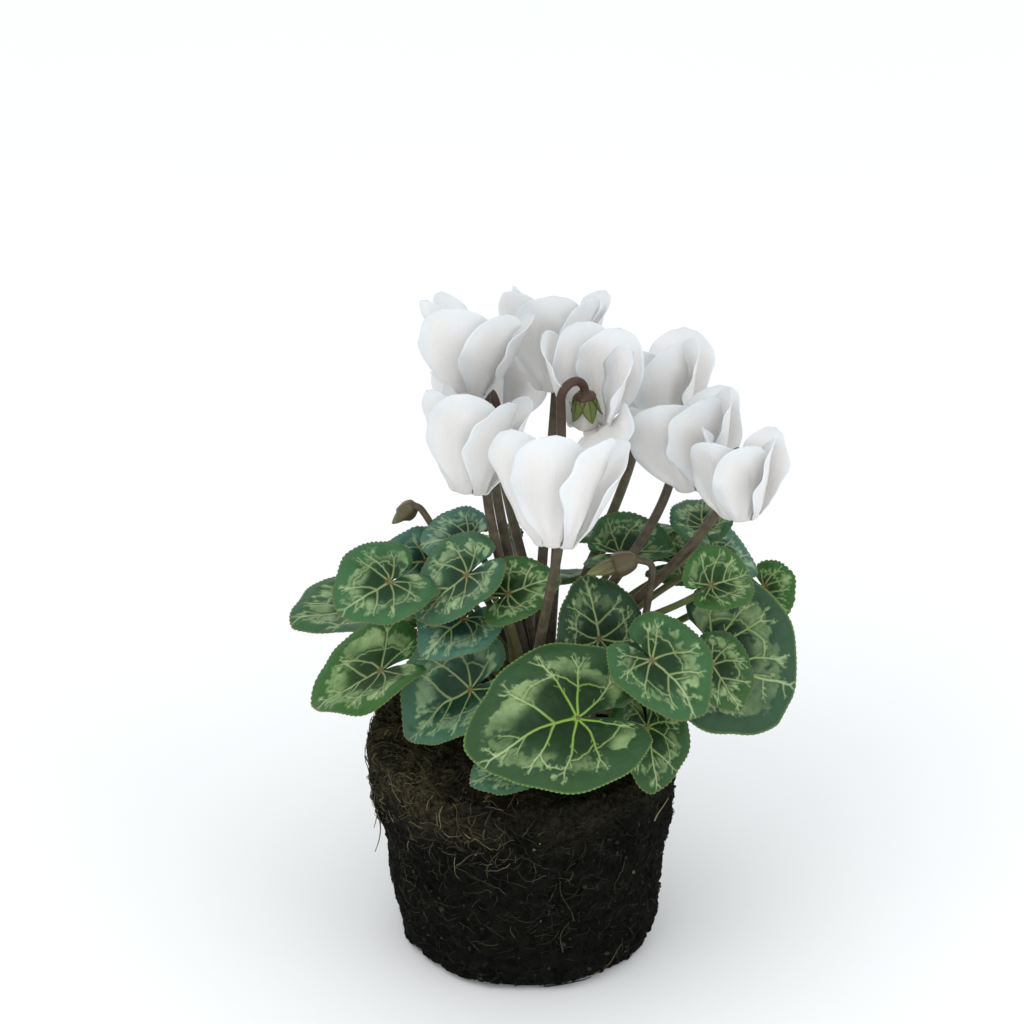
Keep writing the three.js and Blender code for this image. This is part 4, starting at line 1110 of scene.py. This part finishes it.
# The roots on the peat: how each kind wanders, how far it stands off, and how thick and pale it is
THREADS = (
    dict(way=dict(count=1900, lengths=(3, 9), runs=(0, 110)),
         stand=(0.0, 0.45), radii=(0.09, 0.18), sides=3, shades=(0.05, 0.12, 0.2, 0.3)),
    dict(way=dict(count=1300, lengths=(1.5, 6), runs=(1, 110), steps=4, swerve=0.16),
         stand=(0.05, 0.5), radii=(0.11, 0.22), sides=4, shades=(0.16, 0.26, 0.38)),
    dict(way=dict(count=430, lengths=(3, 10), runs=(52, 96), turns=(2.3, 4.7)),
         stand=(0.1, 1.2), radii=(0.1, 0.2), sides=4, shades=(0.45, 0.6, 0.8)),
    dict(way=dict(count=220, lengths=(2.5, 9), runs=(24, 76), turns=(2.2, 5.2)),
         stand=(0.1, 0.7), radii=(0.1, 0.2), sides=4, shades=(0.36, 0.46, 0.58)),
    dict(way=dict(count=34, lengths=(7, 20), runs=(1, 70), steps=12, swerve=0.22, droop=0.3),
         stand=(0.1, 0.7), radii=(0.09, 0.16), sides=5, shades=(0.4, 0.55)),
)


def threads_piece():
    pile = Pile()
    side = ceil(sqrt(sum(kind["way"]["count"] for kind in THREADS)))
    cell = 0
    for kind in THREADS:
        turn, run = wander(**kind["way"])
        share = shares(turn.shape[1])
        stand = rng.uniform(*kind["stand"], (len(turn), 1)) * np.sin(pi * share)
        stand = stand + rng.normal(0, 0.06, turn.shape)
        lines = on_ball(turn, run, rough(on_ball(turn, run)) * ramp(run, 0, 3) + stand)
        lines[..., 2] = np.maximum(lines[..., 2], 0.25)
        for line in lines:
            radii = rng.uniform(*kind["radii"]) * (1 - 0.55 * share)
            add_stalk(pile, line, radii, kind["sides"], cell_box(cell, side),
                      shade=rng.choice(kind["shades"]) + rng.uniform(-0.08, 0.08))
            cell += 1
    settle(pile.object("root_threads", [FIBRE]), "peat")


# Stiff straws and pale roots: way round, run, length, heading in degrees and how far they stand off
STRAWS = (
    (-118, 50, 14, 30, 0.4), (-168, 51, 12, 10, 5.0), (-172, 48, 13, -25, 6.0), (-160, 58, 11, 60, 1.5),
    (-84, 2, 22, 4, 0.3), (-60, 4, 16, 30, 0.4), (-70, 28, 20, 95, 0.3), (-74, 16, 14, 80, 0.6),
    (-140, 67, 12, 140, 1.0), (-30, 55, 10, 40, 1.4), (40, 44, 14, 100, 1.0), (110, 29, 18, 20, 0.6),
    (150, 62, 12, 60, 2.0),
)


def straws_piece():
    pile = Pile()
    share = shares(14)
    for k, (turn, run, length, heading, off) in enumerate(STRAWS):
        headings = radians(heading) + 0.4 * np.sin(k + 4 * share)
        turns = radians(turn) + np.cumsum(np.cos(headings)) * length / 14 / 47
        runs = np.clip(run + np.cumsum(np.sin(headings)) * length / 14, 0.5, 100)
        line = on_ball(turns, runs, 0.5 + off * share ** 2)
        shade = rng.uniform(0.7, 1.0) - 0.35 * (off < 1)
        add_stalk(pile, line, 0.26 * (1 - 0.55 * share), 6, cell_box(k, 4), shade=shade)
    settle(pile.object("straws", [FIBRE]), "peat")


def pebble():
    """A ball of small triangles: its points and faces."""
    shape = bmesh.new()
    bmesh.ops.create_icosphere(shape, subdivisions=2, radius=1.0)
    points = np.array([v.co[:] for v in shape.verts])
    faces = np.array([[v.index for v in f.verts] for f in shape.faces])
    shape.free()
    return points, faces


def crumbs_piece():
    """Crumbs of peat and bark on the skin, and now and then a smaller pale one."""
    pile = Pile()
    ball, faces = pebble()
    count, side = 640, 26
    spots = on_ball(rng.uniform(0, tau, count), rng.uniform(1, 112, count), 0.1)
    for k, spot in enumerate(spots):
        pale = k % 16 == 0
        size = (0.4 if pale else 0.65) * rng.uniform(0.35, 1.1) * rng.uniform(0.6, 1.4, 3)
        lumps = 1 + 0.35 * noise(ball * 2 + k * 7.7, 1.3, k)[:, None]
        u0, v0, u1, _ = cell_box(k, side)
        flat = (ball[:, :2] * 0.5 + 0.5) * (u1 - u0) + (u0, v0)
        shade = rng.uniform(0.6, 0.9) if pale else rng.uniform(0, 0.4)
        pile.add(spot + ball * lumps * size, faces, flat[faces], shade=shade)
    settle(pile.object("crumbs", [FIBRE]), "peat")


def tuber_piece():
    pile = Pile()
    turn_at, fall_at = np.meshgrid(steps_round(90), np.linspace(0.01, pi - 0.01, 46))
    out = np.sin(fall_at)
    way = np.stack([out * np.cos(turn_at), out * np.sin(turn_at), np.cos(fall_at)], -1)
    bark = 0.985 + 0.02 * noise(way, 0.22, 21) + 0.02 * noise(way, 0.09, 22)
    size = np.array([TUBER["radius"], TUBER["radius"], TUBER["height"]])
    points = np.array(TUBER["centre"]) + way * bark[..., None] * size
    pile.rings(points, points[[0, -1]].mean(1), ((0.5, 0.5), (0.5, 0.5)), way=1, box=WHOLE)
    settle(pile.object("tuber_fine", [TUBER_SKIN]), "tuber", "tuber")


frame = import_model()

LEAF_UPPER, LEAF_UNDER = leaf_upper_material(), leaf_under_material()
LEAF_STALK_SKIN = stalk_material("leaf_stalk", (76, 58, 45), (102, 88, 62), (88, 112, 60))
STALK_SKIN = stalk_material("flower_stalk", (58, 50, 40), (84, 76, 58), (96, 108, 58))
PETAL_SKIN, CALYX_SKIN, BUD_SKIN = petal_material(), calyx_material(), bud_material()
PEAT, FIBRE, TUBER_SKIN = peat_material(), fibre_material(), tuber_material()

root_ball_piece()
threads_piece()
straws_piece()
crumbs_piece()
tuber_piece()
for i, (leaf, look) in enumerate(zip(LEAVES, LOOKS), 1):
    leaf_piece(f"leaf_{i:02d}", leaf, look, i)
for i, flower in enumerate(FLOWERS, 1):
    corolla_piece(f"flower_{i:02d}_corolla", flower, i)
    flower_stalk_piece(f"flower_{i:02d}_stalk", flower)
for i, bud in enumerate(BUDS, 1):
    bud_pieces(f"bud_{i:02d}", bud)


# Floor, light and camera, in metres

FLOOR = dict(half=4, height=-0.0005)
MIDDLE = (0, 0, 0.12)
CAMERA = dict(target=(-0.005, 0, 0.152), distance=1.8, down=29.4, focal_pixels=5796, pixels=1024, sensor=36)


def stage():
    half, height = FLOOR["half"], FLOOR["height"]
    mesh = bpy.data.meshes.new("floor")
    corners = [(x, y, height) for x, y in ((-half, -half), (half, -half), (half, half), (-half, half))]
    mesh.from_pydata(corners, [], [(0, 1, 2, 3)])
    mesh.materials.append(floor_material())
    floor = bpy.data.objects.new("floor", mesh)
    bpy.context.scene.collection.objects.link(floor)


def light(name, place, size, watts, colour):
    lamp = bpy.data.lights.new(name, "AREA")
    lamp.shape = "DISK"
    lamp.size = size
    lamp.energy = watts
    lamp.color = colour
    thing = bpy.data.objects.new(name, lamp)
    thing.location = place
    thing.rotation_euler = (Vector(MIDDLE) - Vector(place)).to_track_quat("-Z", "Y").to_euler()
    bpy.context.scene.collection.objects.link(thing)


def studio():
    world = bpy.data.worlds.new("studio")
    world.use_nodes = True
    back = world.node_tree.nodes["Background"]
    back.inputs["Color"].default_value = (0.95, 0.975, 1.0, 1)
    back.inputs["Strength"].default_value = 1.05
    scene = bpy.context.scene
    scene.world = world
    scene.view_settings.view_transform = "Standard"
    light("key", (-0.7, -0.9, 1.5), 1.3, 7, (1.0, 0.985, 0.96))
    light("fill", (1.2, -0.8, 0.9), 1.2, 4, (0.95, 0.98, 1.0))
    light("front", (0.1, -1.7, 0.5), 1.2, 3.5, (1.0, 0.99, 0.98))
    tilt = radians(CAMERA["down"])
    lens = bpy.data.cameras.new("view")
    lens.sensor_width = CAMERA["sensor"]
    lens.lens = CAMERA["focal_pixels"] / CAMERA["pixels"] * CAMERA["sensor"]
    lens.clip_end = 50
    eye = bpy.data.objects.new("view", lens)
    back_off = CAMERA["distance"] * Vector((0, -cos(tilt), sin(tilt)))
    eye.location = Vector(CAMERA["target"]) + back_off
    eye.rotation_euler = Euler((pi / 2 - tilt, 0, 0))
    scene.collection.objects.link(eye)
    scene.camera = eye


stage()
studio()
